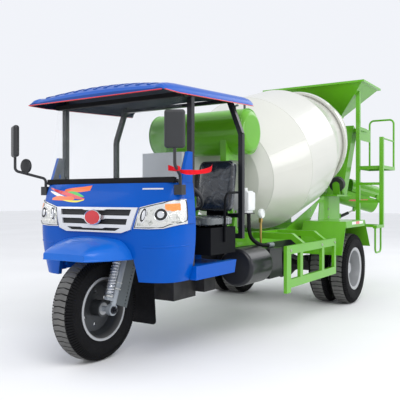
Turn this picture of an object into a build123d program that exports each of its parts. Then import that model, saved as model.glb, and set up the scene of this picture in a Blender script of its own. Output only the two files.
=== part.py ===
from build123d import *
import math
import os

# Lengths are millimetres. X is across (left side positive), Y runs to the rear, Z is up.
# Every function below works with the front axle at Y = 0 and the ground at Z = 0.

# Wheels and axles
WHEELBASE = 3270
FRONT_TYRE_R = 380
FRONT_TYRE_W = 186
FRONT_RIM_R = 226
HUB_HALF = 70
REAR_TYRE_R = 394
REAR_TYRE_W = 196
REAR_RIM_R = 232
REAR_OUTER_X = 815
DUAL_SPACING = 236
AXLE_TUBE_R = 58
REAR_HUB_IN_X = 602
SPINDLE_X = 700
SPRING_HALF = 540
SPRING_SAG = 90
SPRING_T = 45
SPRING_DROP = 30
REAR_SPINDLE_R = 45
FIT = 0.08
SEAT_GAP = 0.3
RUN_GAP = 6
BEAD_IN = 26

# Chassis frame and green subframe
RAIL_X = 330
RAIL_W = 70
FRAME_Z0 = 620
FRAME_Z1 = 740
SUB_Z1 = 860
FRAME_FRONT_Y = 470
SUB_FRONT_Y = 1280
FRAME_REAR_Y = 4900

# Steering head and fork
RAKE_DEG = 20
HEAD_OFFSET = 60
CROWN_REACH = 430
CROWN_H = 60
CROWN_REAR_HALF = 70
LEG_X = 148
LEG_R = 30
STRUT_LEAD = 64
COIL_R = 27
COIL_TURNS = 14
COIL_Z0 = 92
COIL_Z1 = 404
FRONT_AXLE_R = 20
STEM_R = 28
HEAD_R = 46
HEAD_LEN = 170

# Cab nose
CAB_HALF_W = 690
CAB_BACK_Y = 290
NOSE_WALL = 30
NOSE_Z0 = 600
NOSE_WAIST_Z = 1060
NOSE_TOP_Z = 1300
NOSE_SHOULDER_Z = 1525
NOSE_RAKE = 95
NOSE_BOW = 20
NOSE_OVER = 60
WHEEL_GAP_HALF_W = 360
WHEEL_GAP_TOP_HALF = 215
WHEEL_GAP_TOP_Z = 878
FLOOR_Z = 700
CAB_REAR_Y = 860
SILL_Z0 = 600

# Canopy
CANOPY_HALF = 666
CANOPY_FRONT_Y = -60
CANOPY_REAR_Y = 1228
CANOPY_EDGE_Z = 1926
CANOPY_KINK_Y = 125
CANOPY_CLIMB = 56
CANOPY_SHOULDER = 92
CANOPY_SIDE = 70
CANOPY_CROWN = 44
CANOPY_T = 8
CANOPY_RIB_H = 6
CANOPY_RIB_W = 26
CANOPY_RIB_PITCH = 100

# Cab fittings
SCREEN_HALF = 632
SCREEN_H = 655
SCREEN_T = 30
SCREEN_RAIL = 40
PANE_T = 5
POST_T = 40
POST_OUT_X = 654
REAR_HOOP_Y = 1000
HOOP_FOOT_Z = 860
HOOP_KNEE_Z = 1720
HOOP_TOP_X = 535
MIRROR_X = 781
MIRROR_Y = -99
MIRROR_Z = 1645
MIRROR_YAW = 30
MIRROR_W = 138
MIRROR_H = 252
MIRROR_T = 46
WIDE_MIRROR_R = 58
SEAT_X = CAB_HALF_W - 200
SEAT_Z = 965
SEAT_BACK_T = 90
TANK2_X = 600
TANK2_Y0 = 1030
TANK2_Y1 = 1440
TANK2_Z = 610
TANK2_R = 160

# Mixing drum, measured along its tilted axis from the middle of its cylinder
DRUM_Y = 2786
DRUM_Z = 1654
DRUM_TILT = 14.9
DRUM_R = 729
DRUM_HALF_CYL = 380
DRUM_HEAD_S = -920
DRUM_HEAD_R = 540
DRUM_FLANGE_S = -1120
DRUM_FLANGE_R = 170
DRUM_RING_S = 1000
DRUM_RING_R = 640
DRUM_MOUTH_S = 1474
DRUM_MOUTH_R = 481
DRUM_WALL = 12
ROLLER_R = 95
ROLLER_W = 70
ROLLER_ANGLE = 40
ROLLER_SHAFT_R = 18

# Water tank
TANK_Y = 1480
TANK_Z = 1800
TANK_R = 208
TANK_HALF = 530

# Side guard
GUARD_X = 905
GUARD_T = 30
GUARD_Y0 = 1394
GUARD_REAR_GAP = 641
GUARD_Y1 = WHEELBASE - GUARD_REAR_GAP
GUARD_Z0 = 368
GUARD_Z1 = 777

# Rear mudguards
FENDER_OUT_X = 942
FENDER_IN_X = 455
FENDER_TOP_Z = 940
FENDER_FOOT_Z = 590
FENDER_TAIL_Z = 620
FENDER_T = 6
FENDER_FRONT = 570
FENDER_ROOF_FRONT = 430
FENDER_ROOF_REAR = 235
FENDER_REAR = 445

# Rear pedestal, hopper and ladder
DECK_Z = 1235
POST_X = 400
BEAM_Y0 = 4590
BEAM_Y1 = 4740
BEAM_Z0 = 2090
BEAM_Z1 = 2150
LINK_PLATE_T = 12
LINK_PLATE_H = 168
HOPPER_HALF = 710
HOPPER_FRONT_Y = 4200
HOPPER_REAR_Y = 4960
HOPPER_TOP_Z = 2720
HOPPER_LOW_Z = 2330
HOPPER_OUT_HALF = 290
HOPPER_OUT_Y0 = 4580
HOPPER_OUT_Y1 = 4700
SPOUT_Y0 = 4110
SPOUT_Y1 = 4280
SPOUT_Z = 1950
SHEET = 6
LADDER_X0 = 575
LADDER_X1 = 885
LADDER_Y = 4400
PLATFORM_Y1 = 5000
PLATFORM_Z = 1620
LADDER_TOP_Z = 2049
RAIL_LEG_R = 13
COLLECTOR_Y0 = 4345
COLLECTOR_Y1 = 4950
COLLECTOR_FOOT_Y0 = 4660
COLLECTOR_FOOT_Z = 1405
COLLECTOR_TOP_Z = 1800

# Discharge chute
TURRET_Y = 4780
SOCKET_TOP_Z = 950
CHUTE_YAW = 45
CHUTE_SLOPE = 15
CHUTE_R = 150
CHUTE_LEN = 700
CHUTE_BACK = 110
CHUTE_LIFT = 90
CHUTE_WALL_H = 40
CHUTE_PIVOT_Z = 1075
EXTENSION_LEN = 440
EXTENSION_GAP = 6
HINGE_PIN_R = 6
PIN_R = 14
JACK_R = 22
JACK_ROD_R = 12
JACK_PIN_R = 8
JACK_LUG_X = 430
JACK_LUG_Z = 52
JACK_FOOT_X = 190
JACK_FOOT_Z = -160
JACK_TUBE_END = 165
JACK_ROD_START = 100
TURRET_R = 50
YOKE_Y = 62
JACK_EAR_Y = 32


def block(x0, x1, y0, y1, z0, z1):
    return Pos((x0 + x1) / 2, (y0 + y1) / 2, (z0 + z1) / 2) * Box(x1 - x0, y1 - y0, z1 - z0)


def bar(start, end, width, height):
    # A straight rectangular bar; the width is measured sideways, level with the ground
    run = Vector(*end) - Vector(*start)
    side = Vector(0, 0, 1).cross(run)
    if side.length < 1e-6:
        side = Vector(1, 0, 0)
    plane = Plane(origin=start, x_dir=side, z_dir=run)
    return extrude(plane * Rectangle(width, height), run.length)


def rod(start, end, radius):
    run = Vector(*end) - Vector(*start)
    return extrude(Plane(origin=start, z_dir=run) * Circle(radius), run.length)


def pipe(points, radius, bend):
    path = FilletPolyline(*points, radius=bend)
    return sweep(Plane(origin=path @ 0, z_dir=path % 0) * Circle(radius), path=path)


def side_plate(outline, x, thickness):
    return extrude(Plane.YZ.offset(x) * make_face(Polyline(*outline, close=True)), thickness)


def front_plate(outline, y, thickness):
    # An outline in X and Z, extruded rearward from Y
    plane = Plane(origin=(0, y, 0), x_dir=(1, 0, 0), z_dir=(0, -1, 0))
    return extrude(plane * make_face(Polyline(*outline, close=True)), -thickness)


def pair(part):
    return part + mirror(part, about=Plane.YZ)


def ring(points):
    # A solid of revolution about X from a closed outline of (x, radius)
    face = Plane.XY * make_face(Polyline(*points, close=True))
    return revolve(face, Axis.X)


def tyre(radius, width, bead_r):
    half = width / 2
    tread = half - 22
    outline = [
        (-half + BEAD_IN, bead_r), (-half, bead_r + 45), (-half, radius - 58), (-tread, radius - 12),
        (-tread + 22, radius), (tread - 22, radius), (tread, radius - 12), (half, radius - 58),
        (half, bead_r + 45), (half - BEAD_IN, bead_r),
    ]
    return ring(outline)


def front_rim():
    # One-piece rim: bead seats under the tyre and a deeply dished disc
    half = FRONT_TYRE_W / 2
    rim = ring([
        (-half + 12, FRONT_RIM_R + 6), (-half + 12, FRONT_RIM_R - 16), (-30, FRONT_RIM_R - 40),
        (-30, 60), (-HUB_HALF, 60), (-HUB_HALF, FRONT_AXLE_R + FIT), (HUB_HALF, FRONT_AXLE_R + FIT),
        (HUB_HALF, 60), (-12, 60), (-12, FRONT_RIM_R - 54),
        (30, FRONT_RIM_R - 30), (half - 12, FRONT_RIM_R - 14), (half - 12, FRONT_RIM_R + 6),
        (half - 20, FRONT_RIM_R + 6), (half - BEAD_IN + 1, FRONT_RIM_R - SEAT_GAP),
        (BEAD_IN - 1 - half, FRONT_RIM_R - SEAT_GAP), (20 - half, FRONT_RIM_R + 6),
    ])
    return rim - hand_holes(6, 122, 15, FRONT_TYRE_W)


def hand_holes(count, reach, radius, depth):
    # Holes through a wheel disc, spaced evenly about X
    holes = Rot(0, 90, 0) * Cylinder(radius, depth)
    return Compound(children=[Rot(step * 360 / count, 0, 0) * Pos(0, 0, reach) * holes for step in range(count)])


def rear_rim(side):
    # A pair of disc wheels bolted to one hub, the outer one dished inwards
    out = REAR_OUTER_X * side
    hub_len = REAR_OUTER_X - 23 - REAR_HUB_IN_X
    hub = Pos(side * (REAR_HUB_IN_X + hub_len / 2), 0, 0) * Rot(0, 90, 0) * Cylinder(105, hub_len)
    cap = Pos(out - side * 5, 0, 0) * Rot(0, 90, 0) * Cylinder(60, 50)
    body = hub + cap
    half = REAR_TYRE_W / 2 - 12
    bead = REAR_TYRE_W / 2 - BEAD_IN + 1
    r = REAR_RIM_R
    for step, dish in ((0, -side), (DUAL_SPACING, side)):
        barrel = ring([(-half, r + 6), (-half + 8, r + 6), (-bead, r - SEAT_GAP), (bead, r - SEAT_GAP),
                       (half - 8, r + 6), (half, r + 6), (half, r - 12), (half - 8, r - 28),
                       (-half + 8, r - 28), (-half, r - 12)])
        d = 96 * dish
        e = 62 * dish
        disc = ring([(d, 80), (d, r - 84), (e, r - 27), (e - 12 * dish, r - 27),
                     (d - 10 * dish, r - 84), (d - 10 * dish, 80)])
        body = body + Pos(out - side * step, 0, 0) * (barrel + disc)
    spindle_end = SPINDLE_X - REAR_HUB_IN_X + FIT
    bore = Pos(side * (REAR_HUB_IN_X + spindle_end / 2), 0, 0) * Rot(0, 90, 0) * Cylinder(
        REAR_SPINDLE_R + FIT, spindle_end)
    holes = Pos(out - side * DUAL_SPACING / 2, 0, 0) * hand_holes(8, 127, 16, REAR_TYRE_W)
    return body - bore - holes


def rear_tyres(side):
    one = tyre(REAR_TYRE_R, REAR_TYRE_W, REAR_RIM_R)
    outer = Pos(REAR_OUTER_X * side, 0, 0) * one
    inner = Pos((REAR_OUTER_X - DUAL_SPACING) * side, 0, 0) * one
    return Compound(children=[outer, inner])


def steer_frame():
    # Local Z runs up the steering axis, from the point level with the front axle
    rake = math.radians(RAKE_DEG)
    origin = Vector(0, HEAD_OFFSET * math.cos(rake), FRONT_TYRE_R - HEAD_OFFSET * math.sin(rake))
    return Plane(origin=origin, x_dir=(1, 0, 0), z_dir=(0, math.sin(rake), math.cos(rake)))


def fork():
    # Two legs ahead of the stem under a lower crown, each with a coil strut in front of it
    axle_back = -HEAD_OFFSET
    front = axle_back - STRUT_LEAD - 28
    wide = LEG_X + LEG_R + 2
    outline = [(-wide + 16, front), (wide - 16, front), (wide, front + 17), (wide, axle_back + 40),
               (CROWN_REAR_HALF, 45), (-CROWN_REAR_HALF, 45), (-wide, axle_back + 40), (-wide, front + 17)]
    crown = extrude(Plane.XY.offset(CROWN_REACH) * make_face(Polyline(*outline, close=True)), CROWN_H)
    stem = Pos(0, 0, CROWN_REACH + CROWN_H + HEAD_LEN / 2 + 20) * Cylinder(STEM_R, HEAD_LEN + 40)
    body = crown + stem + Pos(0, axle_back, 0) * Rot(0, 90, 0) * Cylinder(FRONT_AXLE_R, 2 * LEG_X)
    for side in (-1, 1):
        upper = Pos(side * LEG_X, axle_back, 300) * Cylinder(LEG_R, 260)
        lower = Pos(side * LEG_X, axle_back, 90) * Cylinder(LEG_R - 6, 200)
        shoe = Pos(side * LEG_X, axle_back, 0) * Rot(0, 90, 0) * Cylinder(42, 36)
        seat = block(side * LEG_X - 16, side * LEG_X + 16, axle_back - STRUT_LEAD - 28, axle_back, COIL_Z0 - 34,
                     COIL_Z0 - 12)
        body = body + upper + lower + shoe + seat
    return steer_frame().location * (body + coil_struts())


def coil_struts():
    # Coil springs between a seat on the leg and the lower crown, each ring a closed turn
    pitch = (COIL_Z1 - COIL_Z0) / COIL_TURNS
    points = [(0, COIL_Z0 - 13)]
    points += [(COIL_R + 3, COIL_Z0 - 13), (COIL_R + 3, COIL_Z0)]
    for turn in range(COIL_TURNS):
        z = COIL_Z0 + turn * pitch
        points += [(COIL_R - 7, z + pitch * 0.1), (COIL_R, z + pitch * 0.3), (COIL_R, z + pitch * 0.62),
                   (COIL_R - 7, z + pitch * 0.85)]
    points += [(COIL_R + 3, COIL_Z1), (COIL_R + 3, CROWN_REACH + 1), (0, CROWN_REACH + 1)]
    strut = Pos(LEG_X, -HEAD_OFFSET - STRUT_LEAD, 0) * about_z(points)
    return pair(strut)


def fork_guards():
    # Perforated stone guards behind the legs, on brackets from the legs
    plates = []
    low = 46
    for side in (-1, 1):
        inner = side * LEG_X - 4
        plate = block(inner, inner + 8, LEG_R - HEAD_OFFSET + SEAT_GAP, 100, low, CROWN_REACH - SEAT_GAP)
        for row in range(12):
            hole = Pos(side * LEG_X, 70, low + 24 + row * 27) * Rot(0, 90, 0) * Cylinder(6, 40)
            plate = plate - hole
        plates.append(plate)
    return steer_frame().location * Compound(children=plates)


def frame():
    rails = pair(block(RAIL_X - RAIL_W / 2, RAIL_X + RAIL_W / 2, FRAME_FRONT_Y, FRAME_REAR_Y,
                       FRAME_Z0, FRAME_Z1))
    inner = RAIL_X - RAIL_W / 2
    body = rails
    for y in (FRAME_FRONT_Y + 30, 1250, 2050, 2900, 3700, FRAME_REAR_Y - 40):
        body = body + block(-inner, inner, y - 30, y + 30, FRAME_Z0 + 20, FRAME_Z1 - 20)
    head = steer_frame().location * (
        Pos(0, 0, CROWN_REACH + CROWN_H + 6 + HEAD_LEN / 2) * Cylinder(HEAD_R, HEAD_LEN))
    bore = steer_frame().location * (
        Pos(0, 0, CROWN_REACH + CROWN_H + HEAD_LEN / 2) * Cylinder(STEM_R + FIT, HEAD_LEN + 200))
    top = steer_frame().location * Pos(0, 0, CROWN_REACH + CROWN_H + HEAD_LEN / 2)
    hx, hy, hz = top.position.X, top.position.Y, top.position.Z
    for side in (-1, 1):
        neck = bar((side * (inner - 20), FRAME_FRONT_Y + 30, FRAME_Z1 - 60),
                   (side * 25, hy + 20, hz), 60, 70)
        body = body + neck
    return body + head - bore


def subframe():
    rails = pair(block(RAIL_X - RAIL_W / 2, RAIL_X + RAIL_W / 2, SUB_FRONT_Y, FRAME_REAR_Y,
                       FRAME_Z1, SUB_Z1))
    inner = RAIL_X - RAIL_W / 2
    body = rails
    for y in (SUB_FRONT_Y + 40, 2050, 2900, 3700, FRAME_REAR_Y - 40):
        body = body + block(-inner, inner, y - 40, y + 40, FRAME_Z1, FRAME_Z1 + 60)
    return body


def side_guard():
    # Left guard panel with its two cranked arms
    x0, x1 = GUARD_X - GUARD_T, GUARD_X
    body = block(x0, x1, GUARD_Y0, GUARD_Y1, GUARD_Z1 - 75, GUARD_Z1)
    body = body + block(x0, x1, GUARD_Y0, GUARD_Y1, GUARD_Z0 + 40, GUARD_Z0 + 115)
    for y, wide, low in ((GUARD_Y0, 90, GUARD_Z0), (1690, 60, GUARD_Z0 + 40),
                         (2230, 60, GUARD_Z0 + 40), (GUARD_Y1 - 50, 50, GUARD_Z0 + 40)):
        body = body + block(x0, x1, y, y + wide, low, GUARD_Z1)
    for y in (1840, 2380):
        body = body + bar((RAIL_X + RAIL_W / 2, y, SUB_Z1 - 28), (770, y, SUB_Z1 - 28), 56, 56)
        body = body + bar((752, y, SUB_Z1 - 20), (x0 + 15, y, GUARD_Z1 - 40), 56, 50)
    return body


def nose_outline(grow, narrow, front_y, sweep, knee_in):
    # Plan of the nose at one height: bowed front, swept corners, open to the rear
    w = CAB_HALF_W - narrow + grow
    front = front_y - grow
    corner = (w, front + sweep)
    left = Spline((0, front - NOSE_BOW), (w - knee_in, front), corner, tangents=[(1, 0), (0, 1)])
    side = Line(corner, (w, CAB_BACK_Y + NOSE_OVER))
    back = Line((w, CAB_BACK_Y + NOSE_OVER), (-w, CAB_BACK_Y + NOSE_OVER))
    return make_face([left, side, back, mirror(side, about=Plane.YZ), mirror(left, about=Plane.YZ)])


def nose_solid(grow):
    stations = [
        (NOSE_Z0, 55, 0, 210, 250), (NOSE_Z0 + 230, 5, -5, 200, 240), (NOSE_WAIST_Z, 0, 0, 190, 230),
        (NOSE_TOP_Z, 22, NOSE_RAKE, 110, 130),
    ]
    faces = [Pos(0, 0, z) * nose_outline(grow, *rest) for z, *rest in stations]
    return loft(faces)


def lamp_outline():
    return [(372, 977), (410, 1127), (495, 1147), (585, 1167), (CAB_HALF_W + 40, 1194),
            (CAB_HALF_W + 40, 1024), (672, 1003), (600, 981), (495, 976)]


def lamp_prism(gap):
    face = make_face(Polyline(*lamp_outline(), close=True))
    plane = Plane(origin=(0, -150, 0), x_dir=(1, 0, 0), z_dir=(0, -1, 0))
    return extrude(plane * (offset(face, -gap) if gap else face), -420)


def cab_nose(outer):
    inner = nose_solid(-NOSE_WALL)
    cutter = block(-900, 900, CAB_BACK_Y - 2, CAB_BACK_Y + 200, 0, 3000)
    shell = outer - inner - cutter
    # Opening over the front wheel
    gap = front_plate([(-WHEEL_GAP_HALF_W - 40, NOSE_Z0 - 5), (-WHEEL_GAP_HALF_W, NOSE_Z0 + 165),
                       (-WHEEL_GAP_TOP_HALF, WHEEL_GAP_TOP_Z), (WHEEL_GAP_TOP_HALF, WHEEL_GAP_TOP_Z),
                       (WHEEL_GAP_HALF_W, NOSE_Z0 + 165), (WHEEL_GAP_HALF_W + 40, NOSE_Z0 - 5)],
                      -200, 250)
    shell = shell - gap - pair(lamp_prism(0))
    # Side cheeks that rise to the shoulder behind the windscreen corners
    cheek = side_plate([(150, NOSE_TOP_Z - 4), (CAB_BACK_Y - 2, NOSE_TOP_Z - 4),
                        (CAB_BACK_Y - 2, NOSE_SHOULDER_Z), (235, NOSE_SHOULDER_Z)],
                       CAB_HALF_W - 52, 26)
    return shell + pair(cheek)


def headlamps():
    skin = nose_solid(6) - nose_solid(-70)
    lamp = skin & lamp_prism(SEAT_GAP)
    back = block(0, CAB_HALF_W + 60, CAB_BACK_Y - 20, CAB_BACK_Y + 200, 0, 2000)
    return pair(lamp - back)


def mudguard(outer):
    # Domed hood over the front tyre: three arched sections from the nose face to the front lip
    def section(y, half_low, half_high, high, dome, inset):
        low = 745 - inset
        lip = low + 34
        half_low, half_high, high = half_low - inset, half_high - inset, high - inset
        side = Polyline((half_high, high), (half_low, lip), (half_low, low), (-half_low, low),
                        (-half_low, lip), (-half_high, high))
        over = ThreePointArc((-half_high, high), (0, high + dome), (half_high, high))
        plane = Plane(origin=(0, y, 0), x_dir=(1, 0, 0), z_dir=(0, -1, 0))
        return plane * make_face([side, over])
    wall = 8
    full = loft([section(60, 410, 280, 888, 42, 0), section(-180, 300, 200, 866, 34, 0),
                 section(-270, 232, 146, 836, 24, 0), section(-335, 186, 122, 796, 10, 0)], ruled=True)
    hollow = loft([section(60, 410, 280, 888, 42, wall), section(-180, 300, 200, 866, 34, wall),
                   section(-270, 232, 146, 836, 24, wall), section(-327, 186, 122, 796, 10, wall)], ruled=True)
    return full - hollow - outer


def grille_plate():
    # Plated frame with three openings, each stepped in towards the badge
    skin = nose_solid(14) - nose_solid(0)
    outline = front_plate([(-400, 1126), (400, 1126), (352, 970), (272, 944), (-272, 944),
                           (-352, 970)], -150, 200)
    body = skin & outline
    for top, bottom, wide, narrow in ((1111, 1067, 348, 336), (1044, 1003, 322, 312), (979, 957, 264, 215)):
        body = body - front_plate([(-wide, top), (-120, top), (-96, top - 7), (96, top - 7), (120, top),
                                   (wide, top), (narrow, bottom), (-narrow, bottom)], -150, 200)
    return body


def badge():
    return Pos(0, -47, 1052) * Rot(90, 0, 0) * Cylinder(56, 20)


def cab_floor():
    # Two footboards, a raised middle over the frame and the sides of the front wheel well
    half = CAB_HALF_W - 53
    well = RAIL_X + RAIL_W / 2
    boards = pair(block(well, half, 60, CAB_REAR_Y, FLOOR_Z - 32, FLOOR_Z - 10))
    walls = pair(block(well, well + 6, 60, CAB_REAR_Y, FLOOR_Z - 32, FRAME_Z1 + 18))
    middle = block(-well, well, FRAME_FRONT_Y + 100, CAB_REAR_Y, FRAME_Z1, FRAME_Z1 + 18)
    return (boards + walls + middle) & nose_floor_space()


def nose_floor_space():
    # The room inside the nose wall, carried on to the rear of the cab
    return nose_solid(-NOSE_WALL - SEAT_GAP) + block(-CAB_HALF_W, CAB_HALF_W, CAB_BACK_Y, CAB_REAR_Y,
                                              NOSE_Z0, NOSE_WAIST_Z)


def sills():
    half = CAB_HALF_W + 5
    outline = [(CAB_BACK_Y, SILL_Z0), (CAB_BACK_Y, FLOOR_Z), (CAB_REAR_Y + 20, FLOOR_Z),
               (CAB_REAR_Y - 10, SILL_Z0)]
    return pair(side_plate(outline, half - 58, 58))


def dashboard():
    inside = nose_solid(-NOSE_WALL - SEAT_GAP)
    return inside & block(-CAB_HALF_W, CAB_HALF_W, -100, CAB_BACK_Y - 2, NOSE_TOP_Z - 90, NOSE_TOP_Z - 6)


def screen_plane():
    lean = math.atan2(100, 615)
    return Plane(origin=(0, NOSE_RAKE + 18, NOSE_TOP_Z), x_dir=(1, 0, 0),
                 z_dir=(0, -math.cos(lean), math.sin(lean)))


def windscreen_frame():
    # Lower channel on the nose and an upper one under the roof; the pane's sides are bare
    low = Pos(0, SCREEN_RAIL / 2) * Rectangle(2 * SCREEN_HALF, SCREEN_RAIL)
    low = screen_plane().location * extrude(low, SCREEN_T / 2, both=True)
    top = block(-SCREEN_HALF, SCREEN_HALF, screen_bar_y() - SCREEN_RAIL, screen_bar_y(),
                CANOPY_EDGE_Z - 8, CANOPY_EDGE_Z + 24)
    return low - nose_solid(0) + top - screen_pane(SEAT_GAP)


def screen_bar_y():
    # Front face of the cross bar that the upper channel is screwed to
    return CAB_BACK_Y - 55


def screen_pane(gap):
    top = SCREEN_H - 30
    pane = Pos(0, (15 + top) / 2) * Rectangle(2 * SCREEN_HALF - 12 + gap, top - 15 + 2 * gap)
    return screen_plane().location * extrude(pane, PANE_T / 2 + gap, both=True)


def windscreen_glass():
    return screen_pane(0)


def canopy_face(y, half, low, side, crown, foot):
    # An arch with rounded shoulders, closed along a straight foot line
    s = CANOPY_SHOULDER
    bulge = (half - 0.17 * s, low + 0.68 * side)
    right = ThreePointArc((half, low), bulge, (half - s, low + side))
    over = ThreePointArc((half - s, low + side), (0, low + side + crown), (s - half, low + side))
    left = ThreePointArc((s - half, low + side), (-bulge[0], bulge[1]), (-half, low))
    base = Polyline((-half, low), (-half, foot), (half, foot), (half, low))
    plane = Plane(origin=(0, y, 0), x_dir=(1, 0, 0), z_dir=(0, -1, 0))
    return plane * make_face([right, over, left, base])


def canopy_edge(y):
    # Height of the roof's lower edge: level at the front, then climbing to the rear
    climb = CANOPY_CLIMB / (CANOPY_REAR_Y - CANOPY_KINK_Y)
    return CANOPY_EDGE_Z + climb * max(0, y - CANOPY_KINK_Y)


def canopy_solid(inset, drop, over_run):
    # Bull-nosed front, long climbing middle and a slightly drawn-in rear
    length = CANOPY_REAR_Y - CANOPY_FRONT_Y
    share = [(0, 0.18, 0.3), (18, 0.46, 0.45), (50, 0.68, 0.6), (105, 0.86, 0.8), (185, 1, 1),
             (length - 90, 1, 1), (length - 30, 0.9, 0.95), (length, 0.72, 0.85)]
    faces = []
    for reach, side, crown in share:
        y = CANOPY_FRONT_Y + reach
        if reach == 0:
            y = y + inset
        if reach == length:
            y = y + over_run
        height = max(CANOPY_SIDE * side - inset, 3)
        low = canopy_edge(y)
        faces.append(canopy_face(y, CANOPY_HALF - inset, low, height, CANOPY_CROWN * crown, low - drop))
    return loft(faces, ruled=True)


def canopy():
    # Pressed roof shell with raised ribs that run from front to rear
    ribs = []
    x = -5 * CANOPY_RIB_PITCH
    while x <= CANOPY_HALF - CANOPY_SHOULDER:
        ribs.append(block(x - CANOPY_RIB_W / 2, x + CANOPY_RIB_W / 2, CANOPY_FRONT_Y + 40, CANOPY_REAR_Y - 90,
                          CANOPY_EDGE_Z + 40, CANOPY_EDGE_Z + 400))
        x = x + CANOPY_RIB_PITCH
    outer = canopy_solid(0, 1, 0)
    raised = canopy_solid(-CANOPY_RIB_H, 1, 0)
    for rib in ribs:
        outer = outer + (raised & rib)
    return outer - canopy_solid(CANOPY_T, 60, 30)


def canopy_posts():
    # Front uprights, cranked rear hoop and the bars under the roof
    t = POST_T
    x = POST_OUT_X - t
    front = block(x, x + t, CAB_BACK_Y, CAB_BACK_Y + t, FLOOR_Z, CANOPY_EDGE_Z + 160)
    front = front + block(x, x + t, screen_bar_y(), CAB_BACK_Y, CANOPY_EDGE_Z, CANOPY_EDGE_Z + 28)
    y = REAR_HOOP_Y
    knee = (CAB_HALF_W - 15, y, HOOP_KNEE_Z)
    top = (HOOP_TOP_X, y, CANOPY_EDGE_Z + 150)
    lower = block(knee[0] - t / 2, knee[0] + t / 2, y - t / 2, y + t / 2, HOOP_FOOT_Z, knee[2])
    upper = bar(knee, top, t, t)
    posts = pair(front + lower + upper)
    foot = block(-knee[0], knee[0], y - t / 2, y + t / 2, HOOP_FOOT_Z, HOOP_FOOT_Z + t)
    foot = foot + pair(block(RAIL_X - t / 2, RAIL_X + t / 2, y - t / 2, y + t / 2, FRAME_Z1, HOOP_FOOT_Z))
    bars = block(-x, x, screen_bar_y(), screen_bar_y() + 30, CANOPY_EDGE_Z, CANOPY_EDGE_Z + 28)
    hoop = block(-HOOP_TOP_X - 40, HOOP_TOP_X + 40, y - t / 2, y + t / 2, CANOPY_EDGE_Z + 62,
                 CANOPY_EDGE_Z + 90)
    body = posts + foot + bars + hoop
    return body & canopy_underside()


def canopy_underside():
    # Everything that lies below the roof's inner face
    low = block(-900, 900, CANOPY_FRONT_Y, CANOPY_REAR_Y, 0, CANOPY_EDGE_Z - 1)
    return canopy_solid(CANOPY_T + SEAT_GAP, 60, 0) + low


def mirror_unit():
    # Left mirror: foot on the nose corner, cranked arm and a tall rounded head
    foot = block(636, 700, 96, 150, 1215, 1285) - nose_solid(0)
    points = [(672, 122, 1262), (672, 122, 1350), (MIRROR_X, MIRROR_Y, 1410), (MIRROR_X, MIRROR_Y, MIRROR_Z - 100)]
    arm = pipe(points, 11, 34)
    head = fillet(Box(MIRROR_W, MIRROR_T, MIRROR_H).edges(), 20)
    return foot + arm + Pos(MIRROR_X, MIRROR_Y, MIRROR_Z) * Rot(0, 0, MIRROR_YAW) * head


def wide_mirror():
    # Small round mirror above the right arm
    disc = Cylinder(WIDE_MIRROR_R, 26)
    disc = fillet(disc.edges().filter_by(GeomType.CIRCLE), 9)
    stalk = rod((-735, -28, 1380), (-735, -28, 1415), 9)
    return Pos(-735, -28, 1450) * Rot(90, 0, -MIRROR_YAW) * disc + stalk


def seat_base():
    x0, x1 = SEAT_X - 190, SEAT_X + 185
    base = block(x0, x1, 520, 900, FRAME_Z1 + 18, SEAT_Z - SEAT_GAP)
    brace = block(-100, 100, SEAT_BACK_T / 2 + SEAT_GAP, SEAT_BACK_T / 2 + 8, -338, 60)
    return base + seat_back_place() * brace


def seat_cushion():
    body = block(SEAT_X - 195, SEAT_X + 195, 500, 880, SEAT_Z, SEAT_Z + 95)
    return fillet(body.edges().filter_by(Axis.Z), 40)


def seat_back_place():
    return Pos(SEAT_X, 905, SEAT_Z + 325) * Rot(-9, 0, 0)


def seat_back():
    body = Box(350, SEAT_BACK_T, 430)
    return seat_back_place() * fillet(body.edges().filter_by(Axis.Y), 60)


def steering_wheel():
    tilt = Rot(-38, 0, 0)
    rim = Torus(185, 14)
    spokes = Box(350, 26, 10) + Box(26, 350, 10) + Cylinder(34, 30)
    wheel = Pos(SEAT_X - 40, 430, 1215) * tilt * (rim + spokes)
    column = rod((SEAT_X - 40, 420, 1205), (SEAT_X - 40, 318, 1075), 20)
    base = block(SEAT_X - 70, SEAT_X - 10, CAB_BACK_Y + 2, CAB_BACK_Y + 40, FLOOR_Z - 10, 1090)
    return wheel + column + base


def cabinet():
    return block(-280, 150, 900, REAR_HOOP_Y - POST_T / 2, FRAME_Z1 + 45, 1590)


def engine():
    # One plain block for the engine and a slimmer one for the gearbox behind it
    inner = RAIL_X - RAIL_W / 2
    body = block(-inner, inner, 1030, 1210, 380, 900)
    return body + block(-inner + 90, inner - 90, 700, 1030, 340, FRAME_Z1 - 8)


def side_tank():
    body = Pos(TANK2_X, (TANK2_Y0 + TANK2_Y1) / 2, TANK2_Z) * Rot(90, 0, 0) * Cylinder(
        TANK2_R, TANK2_Y1 - TANK2_Y0)
    body = fillet(body.edges(), 28)
    for y in (TANK2_Y0 + 90, TANK2_Y1 - 130):
        arm = block(RAIL_X + RAIL_W / 2, TANK2_X, y, y + 40, 640, 720)
        body = body + arm
    return body


def side_box():
    return block(RAIL_X + RAIL_W / 2, 700, TANK2_Y1 + 40, TANK2_Y1 + 300, 470, 735)


def oil_bottle():
    body = Box(118, 118, 190)
    body = fillet(body.edges().filter_by(Axis.Z), 24)
    cap = Pos(0, 0, 108) * Cylinder(26, 28)
    return Pos(560, 1270, 1159 + SEAT_GAP) * (body + cap)


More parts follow.
